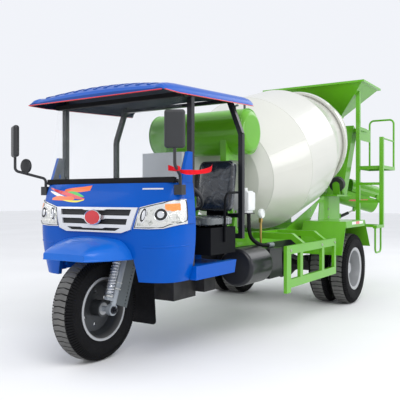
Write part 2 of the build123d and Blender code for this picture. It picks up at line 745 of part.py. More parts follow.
def bottle_stand():
    # Bent tube from the rear hoop, with the tray that the bottle stands in
    tray = block(495, 625, 1205, 1335, 1056, 1064)
    post = block(545, 575, REAR_HOOP_Y + POST_T / 2, 1205, 1030, 1064)
    rise = block(495, 575, REAR_HOOP_Y + POST_T / 2, REAR_HOOP_Y + POST_T / 2 + 30, 1030, 1064)
    side = block(495, CAB_HALF_W - 15, REAR_HOOP_Y + POST_T / 2, REAR_HOOP_Y + POST_T / 2 + 30,
                 1030, 1064)
    return tray + post + rise + side


def drum_place():
    tilt = math.radians(DRUM_TILT)
    return Plane(origin=(0, DRUM_Y, DRUM_Z), x_dir=(1, 0, 0),
                 z_dir=(0, math.cos(tilt), math.sin(tilt))).location


def drum_outline(grow):
    return [(0, DRUM_FLANGE_S - grow), (DRUM_FLANGE_R + grow, DRUM_FLANGE_S - grow),
            (DRUM_FLANGE_R + grow, DRUM_FLANGE_S + 30), (DRUM_HEAD_R - 120 + grow, DRUM_HEAD_S - 90),
            (DRUM_HEAD_R + grow, DRUM_HEAD_S), (DRUM_R + grow, -DRUM_HALF_CYL),
            (DRUM_R + grow, DRUM_HALF_CYL), (DRUM_MOUTH_R + grow, DRUM_MOUTH_S + grow)]


def about_z(points):
    return revolve(Plane.XZ * make_face(Polyline(*points, close=True)), Axis.Z)


def drum_room(grow):
    return drum_place() * about_z(drum_outline(grow) + [(0, DRUM_MOUTH_S + grow)])


def drum_shell():
    # Welded cones with an open mouth and a turned lip
    wall = DRUM_WALL
    outer = about_z(drum_outline(0) + [(0, DRUM_MOUTH_S)])
    inner = about_z([(0, DRUM_FLANGE_S + 40), (DRUM_HEAD_R - 130, DRUM_HEAD_S - 78),
                     (DRUM_HEAD_R - wall, DRUM_HEAD_S + 6), (DRUM_R - wall, -DRUM_HALF_CYL),
                     (DRUM_R - wall, DRUM_HALF_CYL), (DRUM_MOUTH_R - wall, DRUM_MOUTH_S),
                     (DRUM_MOUTH_R - wall, DRUM_MOUTH_S + 50), (0, DRUM_MOUTH_S + 50)])
    lip = Pos(0, 0, DRUM_MOUTH_S - 12) * (Cylinder(DRUM_MOUTH_R + 14, 24) - Cylinder(
        DRUM_MOUTH_R - wall, 40))
    return drum_place() * (outer - inner + lip)


def drum_ring():
    radius = drum_radius(DRUM_RING_S - 35)
    band = Cylinder(DRUM_RING_R, 64) - Cylinder(DRUM_RING_R - 26, 80)
    web = Cylinder(DRUM_RING_R - 25, 20) - Cylinder(radius - 60, 40)
    body = Pos(0, 0, DRUM_RING_S) * (band + web)
    return drum_place() * (body - about_z(drum_outline(0) + [(0, DRUM_MOUTH_S)]))


def drum_radius(s):
    share = (s - DRUM_HALF_CYL) / (DRUM_MOUTH_S - DRUM_HALF_CYL)
    return DRUM_R + share * (DRUM_MOUTH_R - DRUM_R)


def drum_drive():
    # Reduction gearbox on the drum axis with its motor, on a front pedestal
    start = DRUM_FLANGE_S - SEAT_GAP
    gear = Pos(0, 0, start - 90) * Cylinder(150, 180) + Pos(0, 0, start - 250) * Cylinder(70, 150)
    return drum_place() * gear


def front_pedestal():
    # Two legs and a cradle plate under the gearbox
    y = 1560
    inner = RAIL_X - RAIL_W / 2
    foot = pair(block(inner, RAIL_X + RAIL_W / 2, y - 90, y + 90, SUB_Z1, SUB_Z1 + 14))
    plate = front_plate([(-inner - 40, SUB_Z1 + 14), (-170, 1420), (170, 1420),
                         (inner + 40, SUB_Z1 + 14)], y - 8, 16)
    window = front_plate([(-150, SUB_Z1 + 80), (-90, 1120), (90, 1120), (150, SUB_Z1 + 80)],
                         y - 20, 60)
    rib = pair(side_plate([(y - 90, SUB_Z1 + 14), (y - 8, SUB_Z1 + 260), (y - 8, SUB_Z1 + 14)],
                          inner + 20, 12))
    body = foot + (plate - window) + rib
    return body - drum_drive() - drum_room(12)


def roller_place(side):
    angle = math.radians(ROLLER_ANGLE)
    reach = DRUM_RING_R + ROLLER_R
    return drum_place() * Pos(side * reach * math.sin(angle), reach * math.cos(angle), DRUM_RING_S)


def roller(side):
    body = Cylinder(ROLLER_R - SEAT_GAP, ROLLER_W) - Cylinder(ROLLER_SHAFT_R + FIT, ROLLER_W + 10)
    return roller_place(side) * fillet(body.edges().filter_by(GeomType.CIRCLE).sort_by(
        SortBy.RADIUS)[-2:], 4)


def rear_pedestal():
    # Side plates on the subframe, roller deck, brackets and two leaning posts with a cross beam
    x = RAIL_X + 15
    side = side_plate([(2600, SUB_Z1), (3310, 1085), (3700, DECK_Z - 20), (4330, DECK_Z - 20),
                       (4330, SUB_Z1)], x, 8)
    holes = side_plate([(3250, 900), (3560, 1130), (3600, 1130), (3560, 900)], x - 5, 30)
    side = side - holes
    deck = block(-520, 520, 3760, 4330, DECK_Z - 20, DECK_Z)
    deck = deck - block(-240, 240, 3700, 4150, DECK_Z - 30, DECK_Z + 10)
    body = pair(side) + deck
    brackets = []
    for where in (-1, 1):
        centre = roller_place(where)
        for step in (-1, 1):
            cheek = Pos(0, 0, step * (ROLLER_W / 2 + 16)) * Cylinder(44, 12)
            leg = Pos(0, 90, step * (ROLLER_W / 2 + 16)) * Box(88, 180, 12)
            brackets.append(centre * (cheek + leg))
        brackets.append(centre * Cylinder(ROLLER_SHAFT_R, ROLLER_W + 40))
    for bracket in brackets:
        body = body + (bracket - block(-900, 900, 3000, 5000, 0, DECK_Z - 1))
    foot = (POST_X, 4215, DECK_Z)
    top = (POST_X, (BEAM_Y0 + BEAM_Y1) / 2, BEAM_Z1)
    post = pair(bar(foot, top, 120, 165)) - block(-900, 900, 3500, 5200, 0, DECK_Z)
    beam = block(-POST_X - 60, POST_X + 60, BEAM_Y0, BEAM_Y1, BEAM_Z0, BEAM_Z1)
    return body + post + beam - drum_room(8)


def hopper_frustum(inset):
    top = [(-HOPPER_HALF + inset, HOPPER_FRONT_Y + inset), (HOPPER_HALF - inset, HOPPER_FRONT_Y + inset),
           (HOPPER_HALF - inset, HOPPER_REAR_Y - inset), (-HOPPER_HALF + inset, HOPPER_REAR_Y - inset)]
    low = [(-HOPPER_OUT_HALF + inset, HOPPER_OUT_Y0 + inset), (HOPPER_OUT_HALF - inset, HOPPER_OUT_Y0 + inset),
           (HOPPER_OUT_HALF - inset, HOPPER_OUT_Y1 - inset), (-HOPPER_OUT_HALF + inset, HOPPER_OUT_Y1 - inset)]
    faces = [Pos(0, 0, HOPPER_LOW_Z) * make_face(Polyline(*low, close=True)),
             Pos(0, 0, HOPPER_TOP_Z) * make_face(Polyline(*top, close=True))]
    return loft(faces, ruled=True)


def hopper():
    shell = hopper_frustum(0) - hopper_frustum(SHEET)
    rim = block(-HOPPER_HALF - 12, HOPPER_HALF + 12, HOPPER_FRONT_Y - 12, HOPPER_REAR_Y + 12,
                HOPPER_TOP_Z - 26, HOPPER_TOP_Z)
    rim = rim - hopper_frustum(0)
    throat_out = hopper_throat(0)
    throat_in = hopper_throat(SHEET)
    spout = throat_out - throat_in
    return shell + rim + spout


def hopper_throat(inset):
    # Square spout that leans forward from the outlet into the drum's mouth
    a = HOPPER_OUT_HALF - inset
    low = [(-a + 60, SPOUT_Y0 + inset), (a - 60, SPOUT_Y0 + inset), (a - 60, SPOUT_Y1 - inset),
           (-a + 60, SPOUT_Y1 - inset)]
    up = [(-a, HOPPER_OUT_Y0 + inset), (a, HOPPER_OUT_Y0 + inset), (a, HOPPER_OUT_Y1 - inset),
          (-a, HOPPER_OUT_Y1 - inset)]
    low_face = Pos(0, 0, SPOUT_Z) * make_face(Polyline(*low, close=True))
    up_face = Pos(0, 0, HOPPER_LOW_Z) * make_face(Polyline(*up, close=True))
    return loft([low_face, up_face], ruled=True)


def hopper_side_z(x):
    # Height at which the hopper's sloping side reaches a given half width
    share = (x - HOPPER_OUT_HALF) / (HOPPER_HALF - HOPPER_OUT_HALF)
    return HOPPER_LOW_Z + share * (HOPPER_TOP_Z - HOPPER_LOW_Z)


def rail_leg_y():
    return PLATFORM_Y1 - 14


def hopper_stays():
    # Posts from the cross beam's end plates to the hopper sides
    low, high = BEAM_Z0 + 8, BEAM_Z1 - 8
    body = pair(block(POST_X + 60, LADDER_X0 + 25, BEAM_Y0, BEAM_Y1, low, high))
    post = block(LADDER_X0 - 25, LADDER_X0 + 25, LADDER_Y, LADDER_Y + 50, LADDER_TOP_Z + 1,
                 hopper_side_z(LADDER_X0 + 25))
    half = LINK_PLATE_T / 2
    link = block(LADDER_X0 - half, LADDER_X0 + half, LADDER_Y + 50, rail_leg_y() - RAIL_LEG_R - 2 * SEAT_GAP,
                 high - LINK_PLATE_H, high)
    link = link + block(LADDER_X0 - 25, LADDER_X0 + 25, LADDER_Y + 50, BEAM_Y1, low, high)
    body = body + pair(link) + pair(post)
    return body - hopper_frustum(0)


def collector():
    # Funnel that guides the discharge from the mouth into the chute
    def frustum(inset):
        a, b = 325 - inset, 135 - inset
        y1, foot_y1 = COLLECTOR_Y1 - inset, COLLECTOR_Y1 - 20 - inset
        top = [(-a, COLLECTOR_Y0), (a, COLLECTOR_Y0), (a, y1), (-a, y1)]
        low = [(-b, COLLECTOR_FOOT_Y0), (b, COLLECTOR_FOOT_Y0), (b, foot_y1), (-b, foot_y1)]
        return loft([Pos(0, 0, COLLECTOR_FOOT_Z) * make_face(Polyline(*low, close=True)),
                     Pos(0, 0, COLLECTOR_TOP_Z) * make_face(Polyline(*top, close=True))], ruled=True)
    shell = frustum(0) - frustum(SHEET)
    arms = pair(block(318, POST_X - 60, COLLECTOR_Y0 + 85, COLLECTOR_Y0 + 185, COLLECTOR_TOP_Z - 70,
                      COLLECTOR_TOP_Z - 10))
    return shell + arms - drum_room(25)


def ladder():
    x0, x1, y = LADDER_X0, LADDER_X1, LADDER_Y
    t = 25
    base_z = SUB_Z1 - 10
    beam = block(RAIL_X + RAIL_W / 2, x1 + t, y, y + 50, base_z - 40, base_z)
    left = block(x0 - t, x0 + t, y, y + 50, base_z, LADDER_TOP_Z)
    right = block(x1 - t, x1 + t, y, y + 50, base_z, 1990)
    body = beam + left + right
    for z in (1148, 1382):
        body = body + block(x0 + t, x1 - t, y + 8, y + 42, z - 17, z + 17)
    carrier = block(x1 - t, x1 + t, y - 290, y, base_z - 40, base_z)
    loop = pipe([(x1, y - 270, base_z - 20), (x1, y - 270, 500), (x1, y - 20, 500),
                 (x1, y - 20, base_z - 20)], 12, 60)
    return body + carrier + loop


def platform():
    x0, x1, y0, y1 = LADDER_X0 - 25, LADDER_X1 + 25, LADDER_Y + 50, PLATFORM_Y1
    plate = block(x0, x1, y0, y1, PLATFORM_Z - 45, PLATFORM_Z)
    plate = plate - block(x0 + 6, x1 - 6, y0 + 6, y1 - 6, PLATFORM_Z - 50, PLATFORM_Z - 5)
    leg_y = rail_leg_y()
    loop = pipe([(x0 + 14, leg_y, PLATFORM_Z - 1), (x0 + 14, leg_y, 2280),
                 (x1 - 14, leg_y, 2280), (x1 - 14, leg_y, PLATFORM_Z - 1)], RAIL_LEG_R, 60)
    rail = rod((x1 - 14, y0, 1975), (x1 - 14, leg_y, 1975), 11)
    return plate + loop + rail


def fender():
    # Three-sided hood over a pair of wheels, with a skirt and arms to the frame
    t = FENDER_T
    foot, tail = WHEELBASE - FENDER_FRONT, WHEELBASE + FENDER_REAR
    y0, y1 = WHEELBASE - FENDER_ROOF_FRONT, WHEELBASE + FENDER_ROOF_REAR
    outline = [(foot, FENDER_FOOT_Z), (y0, FENDER_TOP_Z), (y1, FENDER_TOP_Z), (tail, FENDER_TAIL_Z)]
    inner = [(foot + t * 1.2, FENDER_FOOT_Z), (y0 + t, FENDER_TOP_Z - t), (y1 - t, FENDER_TOP_Z - t),
             (tail - t * 1.2, FENDER_TAIL_Z)]
    roof = side_plate(outline + inner[::-1], FENDER_IN_X, FENDER_OUT_X - FENDER_IN_X)
    y0, y1 = y0 + 5, y1 - 5
    skirt = side_plate([(y0, FENDER_TOP_Z - 70), (y0, FENDER_TOP_Z - t), (y1, FENDER_TOP_Z - t),
                        (y1, FENDER_TOP_Z - 70)], FENDER_OUT_X - t, t)
    inner_wall = side_plate([(foot + 75, 760), (y0, FENDER_TOP_Z - t), (y1, FENDER_TOP_Z - t),
                             (tail - 95, 760)], FENDER_IN_X, t)
    arms = block(RAIL_X + RAIL_W / 2, FENDER_IN_X, WHEELBASE - 320, WHEELBASE - 260, 780, 840)
    arms = arms + block(RAIL_X + RAIL_W / 2, FENDER_IN_X, WHEELBASE + 210, WHEELBASE + 270, 780, 840)
    return roof + skirt + inner_wall + arms


def rear_axle():
    # Axle tube with a rounded differential and a brake drum inside each inner wheel
    r = AXLE_TUBE_R
    drum_in, drum_out = REAR_HUB_IN_X - 134, REAR_HUB_IN_X - 24
    half = [(0, 165), (110, 130), (170, 70), (200, r), (drum_in, r), (drum_in, 140), (drum_out, 140),
            (drum_out, r), (REAR_HUB_IN_X - RUN_GAP, r), (REAR_HUB_IN_X - RUN_GAP, REAR_SPINDLE_R),
            (SPINDLE_X, REAR_SPINDLE_R), (SPINDLE_X, 0)]
    outline = [(-x, h) for x, h in half[::-1]] + half[1:]
    pads = pair(block(RAIL_X - 38, RAIL_X + 38, -70, 70, 0, spring_seat_z() - REAR_TYRE_R))
    return Pos(0, WHEELBASE, REAR_TYRE_R) * (ring(outline) + pads)


def spring_seat_z():
    return FRAME_Z0 - SPRING_DROP - SPRING_SAG - SPRING_T


def leaf_springs():
    # Arched leaves from hanger to hanger, clamped to the seats on the axle
    end_z = FRAME_Z0 - SPRING_DROP
    low = spring_seat_z()
    h = SPRING_HALF
    over = ThreePointArc((-h, end_z), (0, low + SPRING_T), (h, end_z))
    under = ThreePointArc((h, end_z - 20), (0, low), (-h, end_z - 20))
    ends = [Line((h, end_z), (h, end_z - 20)), Line((-h, end_z - 20), (-h, end_z))]
    leaf = extrude(Plane.YZ.offset(-30) * make_face([over, ends[0], under, ends[1]]), 60)
    leaf = leaf + block(-38, 38, -70, 70, low, low + SPRING_T + 14)
    for y in (-h, h - 50):
        leaf = leaf + block(-30, 30, y, y + 50, FRAME_Z0 - 80, FRAME_Z0)
    return pair(Pos(RAIL_X, WHEELBASE, 0) * leaf)


def propshaft():
    return rod((0, 1216, 560), (0, WHEELBASE - 140, 425), 38)


def front_mudflap():
    return block(-200, 200, FRAME_FRONT_Y - 8, FRAME_FRONT_Y, 190, FRAME_Z0 + 30)


def water_tank():
    body = Pos(0, TANK_Y, TANK_Z) * Rot(0, 90, 0) * Cylinder(TANK_R, 2 * TANK_HALF)
    return fillet(body.edges().filter_by(GeomType.CIRCLE), 70)


def tank_stand():
    # Two green uprights on the subframe with saddles cut to the tank
    x = RAIL_X
    leg = block(x - 30, x + 30, SUB_FRONT_Y + 10, SUB_FRONT_Y + 70, SUB_Z1, TANK_Z - 60)
    saddle = block(x - 30, x + 30, SUB_FRONT_Y + 10, TANK_Y + 150, TANK_Z - 260, TANK_Z - 120)
    body = pair(leg + saddle)
    cut = Pos(0, TANK_Y, TANK_Z) * Rot(0, 90, 0) * Cylinder(TANK_R, 2 * TANK_HALF + 50)
    return body - cut - drum_room(20) - drum_drive()


def turret_base():
    inner = RAIL_X - RAIL_W / 2
    plate = block(-inner, inner, TURRET_Y - 80, FRAME_REAR_Y - 81, FRAME_Z1 + 61, SUB_Z1)
    socket = Pos(0, TURRET_Y, (SUB_Z1 + SOCKET_TOP_Z) / 2) * Cylinder(74, SOCKET_TOP_Z - SUB_Z1)
    bore = Pos(0, TURRET_Y, SOCKET_TOP_Z) * Cylinder(TURRET_R + FIT, 180)
    return plate + socket - bore


def yaw_frame():
    # Local X points out along the chute, level; origin on the swivel axis at pin height
    yaw = math.radians(CHUTE_YAW)
    return Plane(origin=(0, TURRET_Y, CHUTE_PIVOT_Z), x_dir=(math.sin(yaw), math.cos(yaw), 0),
                 z_dir=(0, 0, 1)).location


def chute_frame():
    return yaw_frame() * Rot(0, CHUTE_SLOPE, 0)


def jack_foot():
    # Lower pin of the jack, in the level frame of the turret
    return Vector(JACK_FOOT_X, 0, JACK_FOOT_Z)


def jack_head():
    # Upper pin under the chute, in the level frame of the turret
    slope = math.radians(CHUTE_SLOPE)
    x, z = JACK_LUG_X, JACK_LUG_Z
    return Vector(x * math.cos(slope) + z * math.sin(slope), 0, -x * math.sin(slope) + z * math.cos(slope))


def jack_frame():
    # Local X runs from the lower pin to the upper pin
    run = jack_head() - jack_foot()
    return yaw_frame() * Plane(origin=jack_foot(), x_dir=run, z_dir=run.cross(Vector(0, 1, 0))).location


def turret():
    # Swivel post, flange, tilt yoke and the arm that carries the jack
    low = SOCKET_TOP_Z - CHUTE_PIVOT_Z
    post = Pos(0, 0, low - 40) * Cylinder(TURRET_R, 84)
    low = low + SEAT_GAP
    flange = Pos(0, 0, low + 10) * Cylinder(TURRET_R + 36, 20)
    body = post + flange
    for step in (-1, 1):
        body = body + block(-45, 45, step * YOKE_Y - 8, step * YOKE_Y + 8, low + 10, 30)
    body = body + Rot(90, 0, 0) * Cylinder(PIN_R, 2 * YOKE_Y + 16)
    foot = jack_foot()
    body = body + block(70, foot.X - 24, -38, 38, low, low + 20)
    for step in (-1, 1):
        ear = block(foot.X - 60, foot.X + 20, step * JACK_EAR_Y - 5, step * JACK_EAR_Y + 5, foot.Z - 20,
                    low + 20)
        body = body + ear
    body = body + Pos(foot.X, 0, foot.Z) * Rot(90, 0, 0) * Cylinder(JACK_PIN_R, 2 * JACK_EAR_Y + 10)
    return yaw_frame() * body


def jack_barrel():
    eye = Rot(90, 0, 0) * Cylinder(20, 2 * JACK_EAR_Y - 11)
    tube = Pos(JACK_TUBE_END / 2 + 8, 0, 0) * Rot(0, 90, 0) * Cylinder(JACK_R, JACK_TUBE_END - 16)
    bore = Pos(JACK_TUBE_END / 2 + 20, 0, 0) * Rot(0, 90, 0) * Cylinder(JACK_ROD_R + FIT, JACK_TUBE_END)
    hole = Rot(90, 0, 0) * Cylinder(JACK_PIN_R + FIT, 80)
    return jack_frame() * (eye + tube - bore - hole)


def jack_rod():
    length = (jack_head() - jack_foot()).length
    run = length - 16 - JACK_ROD_START
    shaft = Pos(JACK_ROD_START + run / 2, 0, 0) * Rot(0, 90, 0) * Cylinder(JACK_ROD_R, run)
    eye = Pos(length, 0, 0) * Rot(90, 0, 0) * (Cylinder(20, 18) - Cylinder(13, 20))
    return jack_frame() * (shaft + eye)


def trough(x0, x1, radius, wall_h):
    # A half-round channel along X with its lowest line at Z = 0 and the edges on top
    outer = Rot(0, 90, 0) * Cylinder(radius, x1 - x0)
    outer = Pos((x0 + x1) / 2, 0, radius) * outer
    outer = outer - block(x0 - 1, x1 + 1, -radius - 1, radius + 1, radius, 2 * radius + 1)
    outer = outer + block(x0, x1, -radius, radius, radius, radius + wall_h)
    inner = Pos((x0 + x1) / 2, 0, radius) * Rot(0, 90, 0) * Cylinder(radius - SHEET, x1 - x0 + 4)
    inner = inner + block(x0 - 2, x1 + 2, -radius + SHEET, radius - SHEET, radius, radius + wall_h + 5)
    return outer - inner


def chute():
    body = Pos(0, 0, CHUTE_LIFT) * trough(-CHUTE_BACK, CHUTE_LEN, CHUTE_R, CHUTE_WALL_H)
    wide = YOKE_Y - 8 - RUN_GAP
    lug = block(-30, 30, -wide, wide, -30, CHUTE_LIFT + 12)
    lug = lug - block(-40, 40, 14 - wide, wide - 14, -40, CHUTE_LIFT - 8)
    lug = lug - Rot(90, 0, 0) * Cylinder(PIN_R + FIT, 200)
    for step in (-1, 1):
        lug = lug + block(JACK_LUG_X - 14, JACK_LUG_X + 14, step * 22 - 4, step * 22 + 4,
                          JACK_LUG_Z - 14, CHUTE_LIFT + 12)
    inside = Pos(CHUTE_LEN / 2, 0, CHUTE_LIFT + CHUTE_R) * Rot(0, 90, 0) * Cylinder(
        CHUTE_R - SHEET / 2, CHUTE_LEN + 400)
    lug = lug - inside
    lug = lug + Pos(JACK_LUG_X, 0, JACK_LUG_Z) * Rot(90, 0, 0) * Cylinder(4, 50)
    return chute_frame() * (body + lug + hinge_ears() + hinge_pins())


def hinge_height():
    return CHUTE_LIFT + CHUTE_R + CHUTE_WALL_H + EXTENSION_GAP


def hinge_ears():
    # Plates outside the chute's end that carry the folding hinge
    z = hinge_height()
    plate = block(CHUTE_LEN - 16, CHUTE_LEN + 16, CHUTE_R + 1, CHUTE_R + 9, z - 46, z + 14)
    foot = block(CHUTE_LEN - 16, CHUTE_LEN - 2, CHUTE_R - 1, CHUTE_R + 2, z - 46, z - 10)
    return pair_y(plate + foot)


def hinge_pins():
    return pair_y(Pos(CHUTE_LEN, CHUTE_R + 15, hinge_height()) * Rot(90, 0, 0) * Cylinder(HINGE_PIN_R, 24))


def pair_y(part):
    return part + mirror(part, about=Plane.XZ)


def chute_extension():
    # Second length of the same channel, folded back upside down on top of the first
    z = hinge_height()
    x0, x1 = CHUTE_LEN - EXTENSION_LEN, CHUTE_LEN - EXTENSION_GAP
    shell = trough(x0, x1, CHUTE_R, CHUTE_WALL_H)
    depth = CHUTE_R + CHUTE_WALL_H
    shell = Pos(0, 0, z + EXTENSION_GAP + depth) * mirror(shell, about=Plane.XY)
    ear = block(CHUTE_LEN - 60, CHUTE_LEN + 14, CHUTE_R + 15, CHUTE_R + 21, z - 12, z + 54)
    spacer = block(CHUTE_LEN - 60, CHUTE_LEN - 34, CHUTE_R - 1, CHUTE_R + 16, z + 14, z + 54)
    bore = Pos(CHUTE_LEN, 0, z) * Rot(90, 0, 0) * Cylinder(HINGE_PIN_R + FIT, 3 * CHUTE_R)
    return chute_frame() * (shell + pair_y(ear + spacer) - bore)


def nodes():
    wheel = Pos(0, 0, FRONT_TYRE_R)
    nose = nose_solid(0)
    rear = Pos(0, WHEELBASE, REAR_TYRE_R)
    return {
        "chassis_frame": frame(),
        "subframe": subframe() + turret_base(),
        "cab_nose": cab_nose(nose),
        "front_mudguard": mudguard(nose),
        "grille": grille_plate() + (badge() - nose),
        "headlamps": headlamps(),
        "cab_floor": cab_floor() + sills(),
        "dashboard": dashboard(),
        "windscreen_frame": windscreen_frame(),
        "windscreen_glass": windscreen_glass(),
        "canopy": canopy(),
        "canopy_posts": canopy_posts() + bottle_stand(),
        "mirrors": pair(mirror_unit()) + wide_mirror(),
        "seat_base": seat_base(),
        "seat_cushion": seat_cushion(),
        "seat_back": seat_back(),
        "steering_wheel": steering_wheel(),
        "rear_cabinet": cabinet(),
        "engine": engine(),
        "side_tank": side_tank(),
        "side_box": side_box(),
        "oil_bottle": oil_bottle(),
        "water_tank": water_tank(),
        "side_guards": pair(side_guard()),
        "rear_mudguards": pair(fender()),
        "rear_axle": rear_axle() + propshaft(),
        "leaf_springs": leaf_springs(),
        "front_mudflap": front_mudflap(),
        "drum_drive": drum_drive(),
        "front_pedestal": front_pedestal() + tank_stand(),
        "rear_pedestal": rear_pedestal() + hopper_stays(),
        "hopper": hopper(),
        "collector": collector(),
        "ladder": ladder(),
        "platform": platform(),
        "fork": fork(),
        "fork_guards": fork_guards(),
        "front_rim": wheel * front_rim(),
        "front_tyre": wheel * tyre(FRONT_TYRE_R, FRONT_TYRE_W, FRONT_RIM_R),
        "rear_rims_left": rear * rear_rim(1),
        "rear_tyres_left": rear * rear_tyres(1),
        "rear_rims_right": rear * rear_rim(-1),
        "rear_tyres_right": rear * rear_tyres(-1),
        "drum_shell": drum_shell() + drum_ring(),
        "roller_left": roller(1),
        "roller_right": roller(-1),
        "chute_turret": turret(),
        "chute": chute(),
        "chute_extension": chute_extension(),
        "jack_barrel": jack_barrel(),
        "jack_rod": jack_rod(),
    }


def main():
    os.makedirs("parts", exist_ok=True)
    parts = nodes()
    boxes = [part.bounding_box() for part in parts.values()]
    front = min(box.min.Y for box in boxes)
    rear = max(box.max.Y for box in boxes)
    centre = Pos(0, -(front + rear) / 2, 0)
    for name, part in parts.items():
        export_step(centre * part, f"parts/{name}.step")


main()
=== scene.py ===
import math

import bmesh
import bpy
from mathutils import Matrix, Vector, noise
from mathutils.bvhtree import BVHTree


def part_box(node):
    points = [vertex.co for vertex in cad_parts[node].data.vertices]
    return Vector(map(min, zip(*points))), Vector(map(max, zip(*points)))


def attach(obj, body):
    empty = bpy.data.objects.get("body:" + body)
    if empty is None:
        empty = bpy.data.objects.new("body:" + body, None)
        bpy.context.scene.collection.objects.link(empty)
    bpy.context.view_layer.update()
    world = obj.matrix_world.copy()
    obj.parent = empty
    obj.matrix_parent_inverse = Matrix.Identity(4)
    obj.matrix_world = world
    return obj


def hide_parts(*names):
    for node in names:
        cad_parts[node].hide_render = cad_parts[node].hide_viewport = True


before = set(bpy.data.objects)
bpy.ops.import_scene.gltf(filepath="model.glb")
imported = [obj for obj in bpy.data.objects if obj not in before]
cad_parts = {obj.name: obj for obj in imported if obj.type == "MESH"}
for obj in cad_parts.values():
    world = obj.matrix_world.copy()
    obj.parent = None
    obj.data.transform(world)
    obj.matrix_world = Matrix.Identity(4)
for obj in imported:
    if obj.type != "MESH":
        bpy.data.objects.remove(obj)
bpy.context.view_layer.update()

# Named places: the front axle is the origin of every given place below
AXLE = (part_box("front_tyre")[0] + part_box("front_tyre")[1]) / 2
FRONT_Y = AXLE.y


def at(x, y, z):
    # A point given from the front axle's line on the ground
    return Vector((x, y + FRONT_Y, z))


SIDES = ((1, "left"), (-1, "right"))
HUB_Z = 380
FORK_RAKE_DEG = 20
FORK_TRAIL = 60
STRUT_X, STRUT_Y, LEG_Y = 148, -124, -60
COIL_TURNS, COIL_LOW, COIL_HIGH, COIL_R = 14, 96, 400, 26
FRONT_LUGS, REAR_LUGS = 55, 44
FRONT_BEAD, REAR_BEAD = 0.226, 0.232
REAR_TYRE_W = 0.196
TREAD_DEPTH = 0.016
BADGE_SPOT, BADGE_STRETCH = (12, -57, 1052), 1.45
SEAT_LEAN_DEG = -9
PAD_CORNER = 0.05
MIRROR_X, MIRROR_Y, MIRROR_Z, MIRROR_YAW_DEG = 781, -99, 1645, 30
MIRROR_GLASS = (54, 110)

# Camera at the photograph's viewing angle
CAMERA_PLACE = (2.948, -3.162, 1.192)
CAMERA_TURN_DEG = 32.76
CAMERA_PITCH_DEG = -0.19
CAMERA_LENS = 51.7


def make_camera():
    data = bpy.data.cameras.new("camera")
    data.lens = CAMERA_LENS
    data.sensor_width = 36
    camera = bpy.data.objects.new("camera", data)
    bpy.context.scene.collection.objects.link(camera)
    camera.location = at(*CAMERA_PLACE)
    camera.rotation_euler = (math.radians(90 + CAMERA_PITCH_DEG), 0, math.radians(CAMERA_TURN_DEG))
    bpy.context.scene.camera = camera


# Materials

def mat_base(name):
    mat = bpy.data.materials.new(name)
    mat.use_nodes = True
    tree = mat.node_tree
    return mat, tree, tree.nodes["Principled BSDF"]


def tex(tree, kind, scale, detail=3.0, stretch=None):
    node = tree.nodes.new(kind)
    node.inputs["Scale"].default_value = scale
    if "Detail" in node.inputs:
        node.inputs["Detail"].default_value = detail
    place = tree.nodes.new("ShaderNodeTexCoord")
    out = place.outputs["Object"]
    if stretch:
        mapping = tree.nodes.new("ShaderNodeMapping")
        mapping.inputs["Scale"].default_value = stretch
        tree.links.new(out, mapping.inputs["Vector"])
        out = mapping.outputs["Vector"]
    tree.links.new(out, node.inputs["Vector"])
    return node


def ramp(tree, source, stops):
    node = tree.nodes.new("ShaderNodeValToRGB")
    elements = node.color_ramp.elements
    while len(elements) < len(stops):
        elements.new(0.5)
    for element, (place, color) in zip(elements, stops):
        element.position = place
        element.color = (*color, 1) if len(color) == 3 else color
    tree.links.new(source, node.inputs["Fac"])
    return node.outputs["Color"]


def add_bump(tree, bsdf, source, strength, distance=0.001, previous=None):
    node = tree.nodes.new("ShaderNodeBump")
    node.inputs["Strength"].default_value = strength
    node.inputs["Distance"].default_value = distance
    tree.links.new(source, node.inputs["Height"])
    if previous:
        tree.links.new(previous.outputs["Normal"], node.inputs["Normal"])
    tree.links.new(node.outputs["Normal"], bsdf.inputs["Normal"])
    return node


def shade(color, factor):
    return tuple(min(1.0, c * factor) for c in color)


def surface(name, color, rough, metal=0.0, coat=0.0, spread=0.08, scale=2.5, grain=0.05,
            grain_scale=260, rough_spread=0.06, dust=0.0, dust_color=(0.35, 0.31, 0.26), specular=0.5):
    # A finish whose tone, gloss and fine relief all vary over the surface
    mat, tree, bsdf = mat_base(name)
    tone = tex(tree, "ShaderNodeTexNoise", scale, 4)
    low, high = shade(color, 1 - spread), shade(color, 1 + spread)
    out = ramp(tree, tone.outputs["Fac"], [(0.3, low), (0.7, high)])
    if dust:
        specks = tex(tree, "ShaderNodeTexNoise", 9, 8)
        mask = ramp(tree, specks.outputs["Fac"], [(0.48, (0, 0, 0)), (0.75, (dust, dust, dust))])
        mix = tree.nodes.new("ShaderNodeMixRGB")
        mix.inputs["Color2"].default_value = (*dust_color, 1)
        tree.links.new(mask, mix.inputs["Fac"])
        tree.links.new(out, mix.inputs["Color1"])
        out = mix.outputs["Color"]
    tree.links.new(out, bsdf.inputs["Base Color"])
    fine = tex(tree, "ShaderNodeTexNoise", grain_scale, 2)
    gloss = ramp(tree, tone.outputs["Fac"], [(0.2, (rough - rough_spread / 2,) * 3),
                                             (0.8, (rough + rough_spread / 2,) * 3)])
    tree.links.new(gloss, bsdf.inputs["Roughness"])
    bsdf.inputs["Metallic"].default_value = metal
    bsdf.inputs["Coat Weight"].default_value = coat
    bsdf.inputs["Coat Roughness"].default_value = 0.06
    bsdf.inputs["Specular IOR Level"].default_value = specular
    if grain:
        add_bump(tree, bsdf, fine.outputs["Fac"], grain)
    return mat


